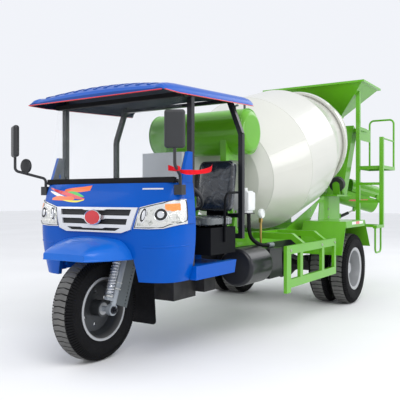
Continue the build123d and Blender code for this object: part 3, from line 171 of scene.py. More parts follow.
def glass_material(name, color, clear):
    # Thin clear sheet: mostly see-through with a glossy skin and faint smears
    mat, tree, bsdf = mat_base(name)
    smear = tex(tree, "ShaderNodeTexNoise", 1.4, 5, stretch=(1, 1, 3))
    tint = ramp(tree, smear.outputs["Fac"], [(0.3, shade(color, 0.94)), (0.7, color)])
    tree.links.new(tint, bsdf.inputs["Base Color"])
    gloss = ramp(tree, smear.outputs["Fac"], [(0.4, (0.03,) * 3), (0.8, (0.03 + 0.05,) * 3)])
    tree.links.new(gloss, bsdf.inputs["Roughness"])
    opacity = ramp(tree, smear.outputs["Fac"], [(0.3, (1 - clear,) * 3), (0.8, (1 - clear + 0.05,) * 3)])
    tree.links.new(opacity, bsdf.inputs["Alpha"])
    bsdf.inputs["Coat Weight"].default_value = 1.0
    bsdf.inputs["Coat Roughness"].default_value = 0.02
    return mat


def tape_material(name, color, rim):
    # Reflective tape: small cells with a brighter rim
    mat, tree, bsdf = mat_base(name)
    cells = tex(tree, "ShaderNodeTexVoronoi", 260)
    cells.feature = "DISTANCE_TO_EDGE"
    out = ramp(tree, cells.outputs["Distance"], [(0.02, rim), (0.10, color)])
    tree.links.new(out, bsdf.inputs["Base Color"])
    bsdf.inputs["Roughness"].default_value = 0.28
    bsdf.inputs["Coat Weight"].default_value = 0.7
    add_bump(tree, bsdf, cells.outputs["Distance"], 0.15)
    return mat


def rubber_material(name, color, dust):
    mat, tree, bsdf = mat_base(name)
    broad = tex(tree, "ShaderNodeTexNoise", 5, 6)
    fine = tex(tree, "ShaderNodeTexNoise", 90, 6)
    out = ramp(tree, broad.outputs["Fac"], [(0.35, color), (0.62, shade(color, 1.5)), (0.8, dust)])
    tree.links.new(out, bsdf.inputs["Base Color"])
    gloss = ramp(tree, fine.outputs["Fac"], [(0.3, (0.62,) * 3), (0.7, (0.86,) * 3)])
    tree.links.new(gloss, bsdf.inputs["Roughness"])
    bsdf.inputs["Specular IOR Level"].default_value = 0.15
    add_bump(tree, bsdf, fine.outputs["Fac"], 0.25)
    return mat


def vinyl_material(name, low, high):
    # Black seat vinyl under a loose clear film: fine grain below, crumpled gloss above, with painted
    # highlight streaks on the film
    mat, tree, bsdf = mat_base(name)
    leather = tex(tree, "ShaderNodeTexVoronoi", 170)
    wrinkle = tex(tree, "ShaderNodeTexNoise", 9, 8)
    wrinkle.inputs["Distortion"].default_value = 1.6
    # painted highlight: the narrow band of the high colour stands in for glints along the film's wrinkles
    stops = [(0.42, shade(low, 0.7)), (0.60, low), (0.66, high), (0.70, low)]
    out = ramp(tree, wrinkle.outputs["Fac"], stops)
    tree.links.new(out, bsdf.inputs["Base Color"])
    gloss = ramp(tree, wrinkle.outputs["Fac"], [(0.40, (0.12,) * 3), (0.7, (0.38,) * 3)])
    tree.links.new(gloss, bsdf.inputs["Roughness"])
    bsdf.inputs["Coat Weight"].default_value = 1.0
    bsdf.inputs["Coat Roughness"].default_value = 0.08
    first = add_bump(tree, bsdf, leather.outputs["Distance"], 0.10)
    add_bump(tree, bsdf, wrinkle.outputs["Fac"], 0.55, 0.02, first)
    return mat


def roof_material(name):
    # Blue above; painted shade: the faces that look down are painted dark navy for the shade under the roof
    mat, tree, bsdf = mat_base(name)
    place = tree.nodes.new("ShaderNodeTexCoord")
    split = tree.nodes.new("ShaderNodeSeparateXYZ")
    tree.links.new(place.outputs["Normal"], split.inputs["Vector"])
    lift = tree.nodes.new("ShaderNodeMapRange")
    lift.inputs["From Min"].default_value = -1
    lift.inputs["From Max"].default_value = 1
    tree.links.new(split.outputs["Z"], lift.inputs["Value"])
    under = ramp(tree, lift.outputs["Result"], [(0.47, UNDERSIDE_SHADE_NAVY), (0.52, BLUE)])
    tone = tex(tree, "ShaderNodeTexNoise", 2.5, 4)
    # random tone mottle, not shade
    mottle = ramp(tree, tone.outputs["Fac"], [(0.3, (0.90,) * 3), (0.7, (1.0,) * 3)])
    mix = tree.nodes.new("ShaderNodeMixRGB")
    mix.blend_type = "MULTIPLY"
    mix.inputs["Fac"].default_value = 1
    tree.links.new(under, mix.inputs["Color1"])
    tree.links.new(mottle, mix.inputs["Color2"])
    tree.links.new(mix.outputs["Color"], bsdf.inputs["Base Color"])
    gloss = ramp(tree, lift.outputs["Result"], [(0.47, (0.85,) * 3), (0.52, (0.28,) * 3)])
    tree.links.new(gloss, bsdf.inputs["Roughness"])
    bsdf.inputs["Specular IOR Level"].default_value = 0.35
    add_bump(tree, bsdf, tone.outputs["Fac"], 0.05)
    return mat


def rim_material(name):
    # Silver outer well and hub; the dished disc between them is painted dark as painted shade, by distance
    # from the axle line
    mat, tree, bsdf = mat_base(name)
    place = tree.nodes.new("ShaderNodeTexCoord")
    shift = tree.nodes.new("ShaderNodeVectorMath")
    shift.operation = "SUBTRACT"
    shift.inputs[1].default_value = (0, AXLE.y, AXLE.z)
    flat = tree.nodes.new("ShaderNodeVectorMath")
    flat.operation = "MULTIPLY"
    flat.inputs[1].default_value = (0, 1, 1)
    size = tree.nodes.new("ShaderNodeVectorMath")
    size.operation = "LENGTH"
    tree.links.new(place.outputs["Object"], shift.inputs[0])
    tree.links.new(shift.outputs["Vector"], flat.inputs[0])
    tree.links.new(flat.outputs["Vector"], size.inputs[0])
    scaled = tree.nodes.new("ShaderNodeMapRange")
    scaled.inputs["From Max"].default_value = 0.25
    tree.links.new(size.outputs["Value"], scaled.inputs["Value"])
    # painted shade: the dark disc and its mid-grey outer band stand in for the shade inside the dish
    silver, dark = (0.42, 0.43, 0.44), (0.048, 0.052, 0.056)
    stops = [(0.17, silver), (0.19, dark), (0.78, dark), (0.84, (0.16, 0.16, 0.16)), (0.885, silver)]
    out = ramp(tree, scaled.outputs["Result"], stops)
    tree.links.new(out, bsdf.inputs["Base Color"])
    tone = tex(tree, "ShaderNodeTexNoise", 9, 6)
    gloss = ramp(tree, tone.outputs["Fac"], [(0.3, (0.32,) * 3), (0.7, (0.48,) * 3)])
    tree.links.new(gloss, bsdf.inputs["Roughness"])
    bsdf.inputs["Metallic"].default_value = 0.5
    add_bump(tree, bsdf, tone.outputs["Fac"], 0.1)
    return mat


def lamp_shell_material(name):
    # Bright lamp shell in front, body paint on the part that runs back along the cab's side
    mat, tree, bsdf = mat_base(name)
    place = tree.nodes.new("ShaderNodeTexCoord")
    split = tree.nodes.new("ShaderNodeSeparateXYZ")
    tree.links.new(place.outputs["Object"], split.inputs["Vector"])
    back = tree.nodes.new("ShaderNodeMapRange")
    back.inputs["From Min"].default_value = FRONT_Y + LAMP_END_Y - 0.1
    back.inputs["From Max"].default_value = FRONT_Y + LAMP_END_Y + 0.1
    tree.links.new(split.outputs["Y"], back.inputs["Value"])
    out = ramp(tree, back.outputs["Result"], [(0.49, (0.74, 0.75, 0.74)), (0.51, BLUE)])
    tree.links.new(out, bsdf.inputs["Base Color"])
    metal = ramp(tree, back.outputs["Result"], [(0.49, (0.8,) * 3), (0.51, (0.0,) * 3)])
    tree.links.new(metal, bsdf.inputs["Metallic"])
    tone = tex(tree, "ShaderNodeTexNoise", 6, 4)
    gloss = ramp(tree, tone.outputs["Fac"], [(0.3, (0.20,) * 3), (0.7, (0.30,) * 3)])
    tree.links.new(gloss, bsdf.inputs["Roughness"])
    bsdf.inputs["Specular IOR Level"].default_value = 0.12
    bsdf.inputs["Coat Weight"].default_value = 0.3
    add_bump(tree, bsdf, tone.outputs["Fac"], 0.04)
    return mat


def facet_material(name):
    # Pressed reflector: bumped cells, each painted its own grey from dark to bright as painted reflection of
    # a tilted facet
    mat, tree, bsdf = mat_base(name)
    cells = tex(tree, "ShaderNodeTexVoronoi", 26)
    # painted reflection: the cell greys stand in for light caught by differently tilted facets
    out = ramp(tree, cells.outputs["Color"], [(0.10, (0.10, 0.105, 0.10)), (0.35, (0.26, 0.27, 0.25)),
                                              (0.60, (0.50, 0.51, 0.47)), (0.9, (0.72, 0.72, 0.68))])
    tree.links.new(out, bsdf.inputs["Base Color"])
    gloss = ramp(tree, cells.outputs["Distance"], [(0.1, (0.10,) * 3), (0.7, (0.24,) * 3)])
    tree.links.new(gloss, bsdf.inputs["Roughness"])
    bsdf.inputs["Metallic"].default_value = 0.75
    bsdf.inputs["Coat Weight"].default_value = 1.0
    add_bump(tree, bsdf, cells.outputs["Distance"], 0.45, 0.01)
    return mat


BLUE = (0.0, 0.080, 0.43)
# Dark navy painted on the roof's downward faces as painted shade
UNDERSIDE_SHADE_NAVY = (0.0012, 0.006, 0.026)
GREEN = (0.115, 0.390, 0.014)
LAMP_END_Y = 0.178
CREAM = (0.60, 0.60, 0.545)


def make_materials():
    m = {}
    m["blue"] = surface("blue_paint", BLUE, 0.26, coat=0.14, spread=0.05, grain=0.03, rough_spread=0.05,
                        specular=0.08)
    # painted reflection: the mudguard hood is a lighter copy of the body blue, standing in for sky light on
    # its top
    m["hood"] = surface("hood_blue_and_sky_light", (0.006, 0.125, 0.55), 0.30, coat=0.20, spread=0.06, grain=0.03,
                        specular=0.2)
    m["roof"] = roof_material("roof_blue_and_underside_shade")
    m["rim"] = rim_material("wheel_silver_and_disc_shade")
    m["lamp"] = lamp_shell_material("lamp_shell")
    m["facet"] = facet_material("lamp_reflector")
    m["ribbon"] = surface("red_satin", (0.62, 0.002, 0.010), 0.4, specular=0.15, spread=0.18, scale=30,
                          grain=0.4, grain_scale=500)
    m["orange"] = surface("orange_film", (0.85, 0.14, 0.01), 0.3, coat=0.5, spread=0.12,
                          scale=9, grain=0.02)
    m["yellow"] = surface("yellow_film", (0.85, 0.72, 0.03), 0.3, coat=0.5, spread=0.12,
                          scale=9, grain=0.02)
    m["lime"] = surface("green_film", (0.04, 0.50, 0.06), 0.3, coat=0.5, spread=0.12, scale=9, grain=0.02)
    m["white"] = surface("white_film", (0.80, 0.80, 0.80), 0.3, coat=0.5, spread=0.05, scale=9, grain=0.02)
    m["brass"] = surface("brass", (0.55, 0.36, 0.12), 0.3, metal=1.0, spread=0.15, scale=20, grain=0.05)
    m["green"] = surface("green_paint", GREEN, 0.30, coat=0.45, spread=0.07, grain=0.05, dust=0.04,
                         specular=0.2)
    m["drum"] = surface("drum_paint", CREAM, 0.30, coat=0.45, spread=0.035, scale=1.1, grain=0.05,
                        dust=0.05, dust_color=(0.55, 0.53, 0.46))
    m["black"] = surface("black_paint", (0.008, 0.009, 0.012), 0.34, coat=0.2, spread=0.3, grain=0.06,
                         specular=0.3)
    m["plastic"] = surface("black_plastic", (0.016, 0.017, 0.019), 0.45, spread=0.25, grain=0.3,
                           grain_scale=420)
    m["rubber"] = rubber_material("black_rubber", (0.008, 0.008, 0.009), (0.022, 0.021, 0.020))
    m["tread"] = rubber_material("tyre_tread", (0.100, 0.099, 0.096), (0.19, 0.18, 0.165))
    m["sidewall"] = rubber_material("tyre_sidewall", (0.0030, 0.0030, 0.0035), (0.011, 0.0105, 0.010))
    m["silver"] = surface("silver_paint", (0.46, 0.47, 0.48), 0.38, metal=0.55, spread=0.1, grain=0.08,
                          dust=0.12, dust_color=(0.20, 0.18, 0.16))
    m["grey"] = surface("grey_paint", (0.30, 0.33, 0.36), 0.35, metal=0.3, coat=0.3, spread=0.12,
                        grain=0.08, dust=0.15, dust_color=(0.12, 0.11, 0.10))
    m["chrome"] = surface("chrome_trim", (0.78, 0.79, 0.81), 0.13, metal=0.9, spread=0.05, grain=0.0,
                          rough_spread=0.08)
    m["satin"] = surface("satin_silver", (0.72, 0.73, 0.76), 0.24, metal=0.6, coat=0.6, spread=0.04,
                         grain=0.02)
    m["iron"] = surface("cast_iron", (0.035, 0.035, 0.037), 0.55, metal=0.4, spread=0.4, scale=9,
                        grain=0.5, grain_scale=180, dust=0.2, dust_color=(0.10, 0.085, 0.07))
    m["steel"] = surface("zinc_steel", (0.50, 0.50, 0.48), 0.35, metal=0.9, spread=0.15, scale=14,
                         grain=0.1)
    m["panel"] = surface("pale_panel", (0.62, 0.65, 0.67), 0.4, spread=0.05, grain=0.05, coat=0.2)
    m["milk"] = surface("milky_plastic", (0.74, 0.76, 0.75), 0.35, coat=0.2, spread=0.07, scale=9,
                        grain=0.1)
    m["soot"] = surface("soot_paint", (0.004, 0.0045, 0.006), 0.55, spread=0.3, grain=0.2, specular=0.08)
    m["guard"] = surface("dark_grey_paint", (0.085, 0.100, 0.105), 0.4, metal=0.2, spread=0.15, grain=0.1)
    # The second colour of each film is its painted highlight
    m["film"] = vinyl_material("film_on_vinyl", (0.012, 0.018, 0.028), (0.06, 0.072, 0.090))
    m["film_pale"] = vinyl_material("pale_film", (0.10, 0.115, 0.12), (0.30, 0.33, 0.34))
    m["cheek"] = surface("grey_panel_paint", (0.060, 0.070, 0.085), 0.5, spread=0.3, scale=18, grain=0.3)
    m["glass"] = glass_material("clear_glass", (0.80, 0.90, 0.92), 0.985)
    m["red_tape"] = tape_material("red_tape", (0.62, 0.02, 0.02), (0.85, 0.20, 0.18))
    m["white_tape"] = tape_material("white_tape", (0.80, 0.81, 0.82), (0.95, 0.95, 0.95))
    m["amber"] = tape_material("amber_lens", (0.80, 0.17, 0.01), (0.92, 0.38, 0.10))
    m["red"] = surface("red_plastic", (0.62, 0.012, 0.02), 0.25, coat=0.8, spread=0.12, grain=0.03)
    m["mirror"] = surface("mirror_glass", (0.85, 0.87, 0.88), 0.04, metal=1.0, spread=0.03, grain=0.0,
                          rough_spread=0.02)
    m["dark"] = surface("dark_mesh_and_bowl_shade", (0.006, 0.007, 0.009), 0.6, spread=0.4, grain=0.6, grain_scale=90)
    return m


M = make_materials()

CAD_FINISH = {
    "chassis_frame": "black", "subframe": "green", "cab_nose": "blue", "front_mudguard": "blue",
    "grille": "satin", "headlamps": "lamp", "cab_floor": "blue", "dashboard": "plastic",
    "windscreen_frame": "rubber", "windscreen_glass": "glass", "canopy": "roof", "canopy_posts": "black",
    "mirrors": "plastic", "seat_base": "soot", "steering_wheel": "plastic", "rear_cabinet": "panel",
    "engine": "iron", "side_tank": "black", "side_box": "black", "oil_bottle": "milk",
    "water_tank": "green", "side_guards": "green", "rear_mudguards": "green", "rear_axle": "iron",
    "leaf_springs": "iron", "front_mudflap": "rubber", "drum_drive": "iron", "front_pedestal": "green",
    "rear_pedestal": "green", "hopper": "green", "collector": "green", "ladder": "green",
    "platform": "green", "fork": "grey", "fork_guards": "guard", "front_rim": "rim",
    "rear_rims_left": "silver", "rear_rims_right": "silver", "drum_shell": "drum",
    "roller_left": "iron", "roller_right": "iron", "chute_turret": "green", "chute": "green",
    "chute_extension": "green", "jack_barrel": "black", "jack_rod": "steel",
}


def dress_cad():
    for name, finish in CAD_FINISH.items():
        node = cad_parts.get(name)
        if node is None:
            continue
        node.data.materials.clear()
        node.data.materials.append(M[finish])


# Mesh helpers

class Shape:
    """Collects small forms in one mesh."""

    def __init__(self):
        self.bm = bmesh.new()

    def box(self, low, high, bevel=0.0):
        low, high = Vector(low), Vector(high)
        made = bmesh.ops.create_cube(self.bm, size=1.0)
        size = high - low
        matrix = Matrix.Translation((low + high) / 2) @ Matrix.Diagonal((*size, 1))
        bmesh.ops.transform(self.bm, matrix=matrix, verts=made["verts"])
        if bevel:
            edges = list({e for v in made["verts"] for e in v.link_edges})
            bmesh.ops.bevel(self.bm, geom=edges, offset=bevel, segments=2, affect="EDGES", profile=0.6)

    def rod(self, start, end, radius, radius2=None, sides=20):
        start, end = Vector(start), Vector(end)
        run = end - start
        made = bmesh.ops.create_cone(self.bm, cap_ends=True, segments=sides, radius1=radius,
                                     radius2=radius if radius2 is None else radius2, depth=run.length)
        matrix = Matrix.Translation((start + end) / 2) @ run.to_track_quat("Z", "Y").to_matrix().to_4x4()
        bmesh.ops.transform(self.bm, matrix=matrix, verts=made["verts"])

    def revolve(self, outline, place, steps=48):
        # outline holds (along, radius) pairs; place maps local X to the axis
        rings = []
        for k in range(steps):
            a = 2 * math.pi * k / steps
            rings.append([self.bm.verts.new(place @ Vector((x, r * math.cos(a), r * math.sin(a))))
                          for x, r in outline])
        count = len(outline)
        for k in range(steps):
            one, two = rings[k], rings[(k + 1) % steps]
            for j in range(count):
                i = (j + 1) % count
                self.bm.faces.new((one[j], one[i], two[i], two[j]))

    def hexbolt(self, place, axis, radius=0.009, height=0.007):
        axis = Vector(axis).normalized()
        place = Vector(place)
        self.rod(place, place + axis * height * 0.25, radius * 1.35, sides=16)
        self.rod(place + axis * height * 0.25, place + axis * height, radius, sides=6)

    def grid(self, rows):
        made = [[self.bm.verts.new(p) for p in row] for row in rows]
        for a, b in zip(made, made[1:]):
            for j in range(len(a) - 1):
                self.bm.faces.new((a[j], a[j + 1], b[j + 1], b[j]))
        return made

    def done(self, name, finish, body, smooth=True, bevel=0.0, angle=40, recalc=True):
        if recalc:
            bmesh.ops.recalc_face_normals(self.bm, faces=self.bm.faces)
        mesh = bpy.data.meshes.new(name)
        self.bm.to_mesh(mesh)
        self.bm.free()
        obj = bpy.data.objects.new(name, mesh)
        bpy.context.scene.collection.objects.link(obj)
        mesh.materials.append(M[finish])
        if smooth:
            for p in mesh.polygons:
                p.use_smooth = True
            mesh.set_sharp_from_angle(angle=math.radians(angle))
        if bevel:
            mod = obj.modifiers.new("bevel", "BEVEL")
            mod.width = bevel
            mod.segments = 2
            mod.limit_method = "ANGLE"
        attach(obj, body)
        return obj


def smooth_cad():
    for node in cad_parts.values():
        for p in node.data.polygons:
            p.use_smooth = True
        node.data.set_sharp_from_angle(angle=math.radians(28))


def tree_of(node):
    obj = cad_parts[node]
    verts = [v.co.copy() for v in obj.data.vertices]
    return BVHTree.FromPolygons(verts, [tuple(p.vertices) for p in obj.data.polygons])


# Stage

def make_stage():
    world = bpy.data.worlds.new("world")
    bpy.context.scene.world = world
    world.use_nodes = True
    back = world.node_tree.nodes["Background"]
    back.inputs["Color"].default_value = (0.93, 0.95, 1.0, 1)
    back.inputs["Strength"].default_value = 0.95
    mesh = bpy.data.meshes.new("floor")
    half = 40
    corners = [(-half, -half, 0), (half, -half, 0), (half, half, 0), (-half, half, 0)]
    mesh.from_pydata(corners, [], [(0, 1, 2, 3)])
    floor = bpy.data.objects.new("floor", mesh)
    bpy.context.scene.collection.objects.link(floor)
    mat, tree, bsdf = mat_base("pale_floor")
    soft = tex(tree, "ShaderNodeTexNoise", 0.6, 3)
    tone = ramp(tree, soft.outputs["Fac"], [(0.3, (0.84, 0.84, 0.84)), (0.7, (0.88, 0.88, 0.88))])
    tree.links.new(tone, bsdf.inputs["Base Color"])
    bsdf.inputs["Roughness"].default_value = 0.7
    mesh.materials.append(mat)
    lamp("key", (4.5, -5.5, 6.5), (0, 0, 1.0), 5.0, 300)
    lamp("fill", (-6.5, -5.0, 4.5), (0, 0, 1.2), 5.0, 70)
    lamp("back", (3.5, 8.0, 6.0), (0, 1, 1.2), 5.0, 110)
    lamp("side", (8.0, 1.5, 3.5), (0, 0.5, 1.0), 4.0, 130)


def lamp(name, place, target, size, power):
    data = bpy.data.lights.new(name, "AREA")
    data.shape = "RECTANGLE"
    data.size = size
    data.size_y = size * 0.7
    data.energy = power
    obj = bpy.data.objects.new(name, data)
    obj.location = place
    obj.rotation_euler = (Vector(target) - Vector(place)).to_track_quat("-Z", "Y").to_euler()
    bpy.context.scene.collection.objects.link(obj)


# Placing helpers

def mm(x, y, z):
    return at(x / 1000, y / 1000, z / 1000)


def smooth_path(points, steps=8):
    # Catmull-Rom through given points
    pts = [points[0]] + list(points) + [points[-1]]
    out = []
    for i in range(1, len(pts) - 2):
        a, b, c, d = pts[i - 1:i + 3]
        for k in range(steps):
            t = k / steps
            out.append(0.5 * (2 * b + (c - a) * t + (2 * a - 5 * b + 4 * c - d) * t * t
                              + (3 * b - a - 3 * c + d) * t * t * t))
    out.append(pts[-2])
    return out


def tube(shape, path, radius, sides=12):
    # A closed tube along a path, with frames carried from ring to ring
    count = len(path)
    side = None
    rings = []
    for i, p in enumerate(path):
        run = (path[min(i + 1, count - 1)] - path[max(i - 1, 0)]).normalized()
        if side is None:
            side = run.cross(Vector((0.31, 0.17, 0.93))).normalized()
        side = (side - run * side.dot(run)).normalized()
        up = run.cross(side)
        turns = [2 * math.pi * k / sides for k in range(sides)]
        ring = [p + (side * math.cos(a) + up * math.sin(a)) * radius for a in turns]
        rings.append([shape.bm.verts.new(spot) for spot in ring])
    for one, two in zip(rings, rings[1:]):
        for k in range(sides):
            shape.bm.faces.new((one[k], one[(k + 1) % sides], two[(k + 1) % sides], two[k]))
    shape.bm.faces.new(rings[0][::-1])
    shape.bm.faces.new(rings[-1])


def patch(shape, rows, thick):
    # A thin closed sheet whose outer face is the grid of (point, normal) pairs
    rows = [row for row in ([pair for pair in row if pair[0] is not None] for row in rows) if row]
    short = min(len(row) for row in rows)
    rows = [row[:short] for row in rows]
    top = [[shape.bm.verts.new(p) for p, n in row] for row in rows]
    low = [[shape.bm.verts.new(p - n * thick) for p, n in row] for row in rows]
    h, w = len(rows), len(rows[0])
    for i in range(h - 1):
        for j in range(w - 1):
            shape.bm.faces.new((top[i][j], top[i][j + 1], top[i + 1][j + 1], top[i + 1][j]))
            shape.bm.faces.new((low[i][j], low[i + 1][j], low[i + 1][j + 1], low[i][j + 1]))
    rim = [(0, j) for j in range(w)] + [(i, w - 1) for i in range(1, h)]
    rim += [(h - 1, j) for j in range(w - 2, -1, -1)] + [(i, 0) for i in range(h - 2, 0, -1)]
    for (a, b), (c, d) in zip(rim, rim[1:] + rim[:1]):
        shape.bm.faces.new((top[a][b], low[a][b], low[c][d], top[c][d]))


def onto(tree, start, way, lift):
    # The point where a ray meets a node, raised along the surface normal
    way = Vector(way).normalized()
    hit, normal, index, far = tree.ray_cast(Vector(start), way)
    if hit is None:
        return None, None
    if normal.dot(way) > 0:
        normal = -normal
    return hit + normal * lift, normal


def met(rows):
    # Whether every ray of a grid met its node
    return all(p is not None for row in rows for p, n in row)


def bolts(shape, node_tree, starts, way, radius=0.009, height=0.007):
    for start in starts:
        place, normal = onto(node_tree, start, way, 0)
        if place is not None:
            shape.hexbolt(place - normal * 0.001, normal, radius, height)


# Tyres with tread blocks

def tread_block(shape, place, outer, depth, start, end, skew):
    # One rubber block: its section from the tread's middle outwards, swept round by a small angle
    section = outer + [(x * 0.985, r - depth) for x, r in outer[::-1]]
    loops = []
    for a in (start, end):
        loop = []
        for x, r in section:
            turn = a + skew * abs(x)
            loop.append(shape.bm.verts.new(place @ Vector((x, r * math.cos(turn), r * math.sin(turn)))))
        loops.append(loop)
    count = len(section)
    for j in range(count):
        i = (j + 1) % count
        shape.bm.faces.new((loops[0][j], loops[0][i], loops[1][i], loops[1][j]))
    shape.bm.faces.new(loops[0])
    shape.bm.faces.new(loops[1][::-1])


def tyre_piece(node, body, centres, radius, width, bead, lugs):
    depth = TREAD_DEPTH
    half = width / 2
    crown = half - 0.044
    shoulder = half - 0.022
    side = Shape()
    blocks = Shape()
    ribs = Shape()
    for centre in centres:
        place = Matrix.Translation(centre)
        arc = [(-half + 0.026, bead), (-half + 0.012, bead + 0.012), (-half + 0.002, bead + 0.04),
               (-half, bead + 0.07), (-half + 0.001, radius - 0.075), (-half + 0.004, radius - 0.055),
               (-shoulder, radius - 0.024), (-crown, radius - depth)]
        outline = arc + [(0, radius - depth)] + [(-x, r) for x, r in arc[::-1]]
        side.revolve(outline, place, steps=96)
        pitch = 2 * math.pi / lugs
        lean = pitch * 0.3 / half
        for s in (-1, 1):
            narrow = [((crown + 0.008) * s, radius - 0.004), (shoulder * s, radius - 0.011),
                      ((half - 0.001) * s, radius - 0.046)]
            for k in range(lugs):
                for part in (0, 0.5):
                    low = pitch * (k + part)
                    tread_block(ribs, place, narrow, depth, low, low + pitch * 0.34, lean)
        reach = crown + 0.006
        broad = [(-reach, radius - 0.003), (-crown * 0.6, radius), (0, radius), (crown * 0.6, radius),
                 (reach, radius - 0.003)]
        for k in range(lugs):
            start = pitch * k
            tread_block(blocks, place, broad, depth, start, start + pitch * 0.80, lean)
    wall = side.done(node + "_carcass", "sidewall", body, angle=35)
    ribs.done(node + "_ribs", "sidewall", body, smooth=False)
    blocks.done(node + "_tread", "tread", body, smooth=False, bevel=0.0012)
    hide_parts(node)


def make_tyres():
    low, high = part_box("front_tyre")
    centre = (low + high) / 2
    tyre_piece("front_tyre", "front_wheel", [centre], (high.z - low.z) / 2, high.x - low.x, FRONT_BEAD,
               FRONT_LUGS)
    for side, body in (("left", "rear_wheels_left"), ("right", "rear_wheels_right")):
        node = "rear_tyres_" + side
        low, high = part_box(node)
        width = REAR_TYRE_W
        mid = (low + high) / 2
        centres = [Vector((low.x + width / 2, mid.y, mid.z)), Vector((high.x - width / 2, mid.y, mid.z))]
        tyre_piece(node, body, centres, (high.z - low.z) / 2, width, REAR_BEAD, REAR_LUGS)


# Nose

STREAKS = [
    ("orange", [(600, 520, 546), (680, 500, 552), (770, 490, 556), (862, 474, 538)]),
    ("lime", [(565, 564, 576), (640, 550, 600), (700, 546, 606), (760, 570, 612), (822, 612, 618)]),
    ("red", [(412, 492, 506), (520, 526, 560), (640, 556, 606), (740, 596, 640), (832, 636, 656)]),
    ("white", [(422, 534, 548), (500, 556, 592), (560, 584, 616), (610, 606, 622)]),
    ("orange", [(478, 630, 656), (540, 604, 660), (620, 610, 664), (700, 616, 660), (730, 640, 654)]),
    ("yellow", [(610, 656, 662), (690, 662, 682), (770, 662, 684), (832, 650, 658)]),
]


def make_streaks():
    # Painted swooshes on the right of the nose, laid on the paint as thin film
    nose = tree_of("cab_nose")
    for index, (finish, samples) in enumerate(STREAKS):
        shape = Shape()
        top = smooth_path([Vector((a, b, 0)) for a, b, c in samples], 10)
        low = smooth_path([Vector((a, c, 0)) for a, b, c in samples], 10)
        rows = []
        for share in range(4):
            row = []
            for one, two in zip(top, low):
                spot = one.lerp(two, share / 3)
                x = -0.559 + 0.001031 * (spot.x - 418)
                z = 1.273 - 0.000601 * (spot.y - 497)
                point, normal = onto(nose, at(x, -0.6, z), (0, 1, 0), 0.0006 + 0.0002 * index)
                row.append((point, normal))
            rows.append(row)
        patch(shape, rows, 0.0004)
        shape.done("nose_streak_" + str(index), finish, "chassis")


SLOTS = [(1.113, 1.065, 0.350, 0.338), (1.046, 1.001, 0.324, 0.314), (0.981, 0.955, 0.267, 0.217)]


def make_grille():
    # Dark mesh behind each opening, ribbed across
    nose = tree_of("cab_nose")
    for index, (top, low, wide, narrow) in enumerate(SLOTS):
        shape = Shape()
        rows = []
        for i in range(9):
            share = i / 8
            half = wide + (narrow - wide) * share
            z = top + (low - top) * share
            ridge = 0.0012 if i % 2 else 0.0028
            places = [at(-half + 2 * half * k / 40, -0.6, z) for k in range(41)]
            rows.append([onto(nose, place, (0, 1, 0), ridge) for place in places])
        patch(shape, rows, 0.0005)
        shape.done("grille_mesh_" + str(index), "dark", "chassis", smooth=False)
    # Blank oval badge: a red face in a silver ring
    spot = mm(*BADGE_SPOT)
    front = Matrix.Translation(spot) @ Matrix.Diagonal((BADGE_STRETCH, 1, 1, 1))
    front = front @ Matrix.Rotation(math.radians(-90), 4, "Z")
    ring = Shape()
    section = [(-0.006, 0.057), (0.003, 0.055), (0.005, 0.0525), (0.002, 0.050), (-0.006, 0.050)]
    ring.revolve(section, front, steps=72)
    ring.done("badge_ring", "chrome", "chassis")
    face = Shape()
    face.revolve([(-0.006, 0.051), (0.0005, 0.051), (0.0022, 0.034), (0.003, 0.012), (0.0032, 0.0006),
                  (-0.006, 0.0006)], front, steps=72)
    face.done("badge_face", "red", "chassis")
    # Bare bright strip on the nose
    strip = Shape()
    rows = [[onto(nose, at(0.395 + 0.165 * k / 16, -0.6, 1.252 + dz), (0, 1, 0), 0.002) for k in range(17)]
            for dz in (0.0, 0.010)]
    patch(strip, rows, 0.003)
    strip.done("nose_strip", "satin", "chassis")


# The lamp's rim: (x, z) on its front, or ("a", bearing in degrees, z) round its corner
LAMP_RING = [
    (0.380, 0.985), (0.415, 1.119), (0.495, 1.138), (0.585, 1.158), ("a", -40, 1.172), ("a", -18, 1.178),
    ("a", -3, 1.180), ("a", 3, 1.176), ("a", 5, 1.150), ("a", 5, 1.060), ("a", 3, 1.036), ("a", -3, 1.030),
    ("a", -18, 1.021), ("a", -40, 1.010), (0.600, 0.991), (0.495, 0.985),
]


def lamp_point(lamp, side, spot, lift):
    # Front part by its distance from the middle, corner part by its bearing
    if spot[0] == "a":
        turn = math.radians(spot[1])
        way = Vector((math.cos(turn) * side, math.sin(turn), 0))
        start = at(0.50 * side, 0.16, spot[2]) + way * 0.6
        return onto(lamp, start, -way, lift)
    return onto(lamp, at(spot[0] * side, -0.6, spot[1]), (0, 1, 0), lift)


def lamp_grid(lamp, side, x0, x1, z0, z1, lift, cols, rows, angle):
    # A patch of the lamp's face between two heights, which runs on round the corner to a bearing
    out = []
    for i in range(rows + 1):
        row = []
        for k in range(cols + 1):
            share = k / cols
            z = z0(share) + (z1(share) - z0(share)) * i / rows
            if share < 0.6:
                part = share / 0.6
                spot = (x0 + (x1 - x0) * part, z)
            else:
                spot = ("a", -52 + (angle + 52) * (share - 0.6) / 0.4, z)
            row.append(lamp_point(lamp, side, spot, lift))
        out.append(row)
    return out


def disc_on(lamp, side, x, z, rx, rz, lift, thick, shape, lean=0.0):
    # An oval bowl or ring face laid on the lamp
    rows = []
    for share in (0.02, 0.35, 0.7, 1.0):
        row = []
        for k in range(33):
            a = 2 * math.pi * k / 32
            dx, dz = rx * share * math.cos(a), rz * share * math.sin(a)
            dx += dz * lean
            row.append(lamp_point(lamp, side, (x + dx, z + dz), lift * (1 if share < 1 else 0.6)))
        rows.append(row)
    patch(shape, rows, thick)


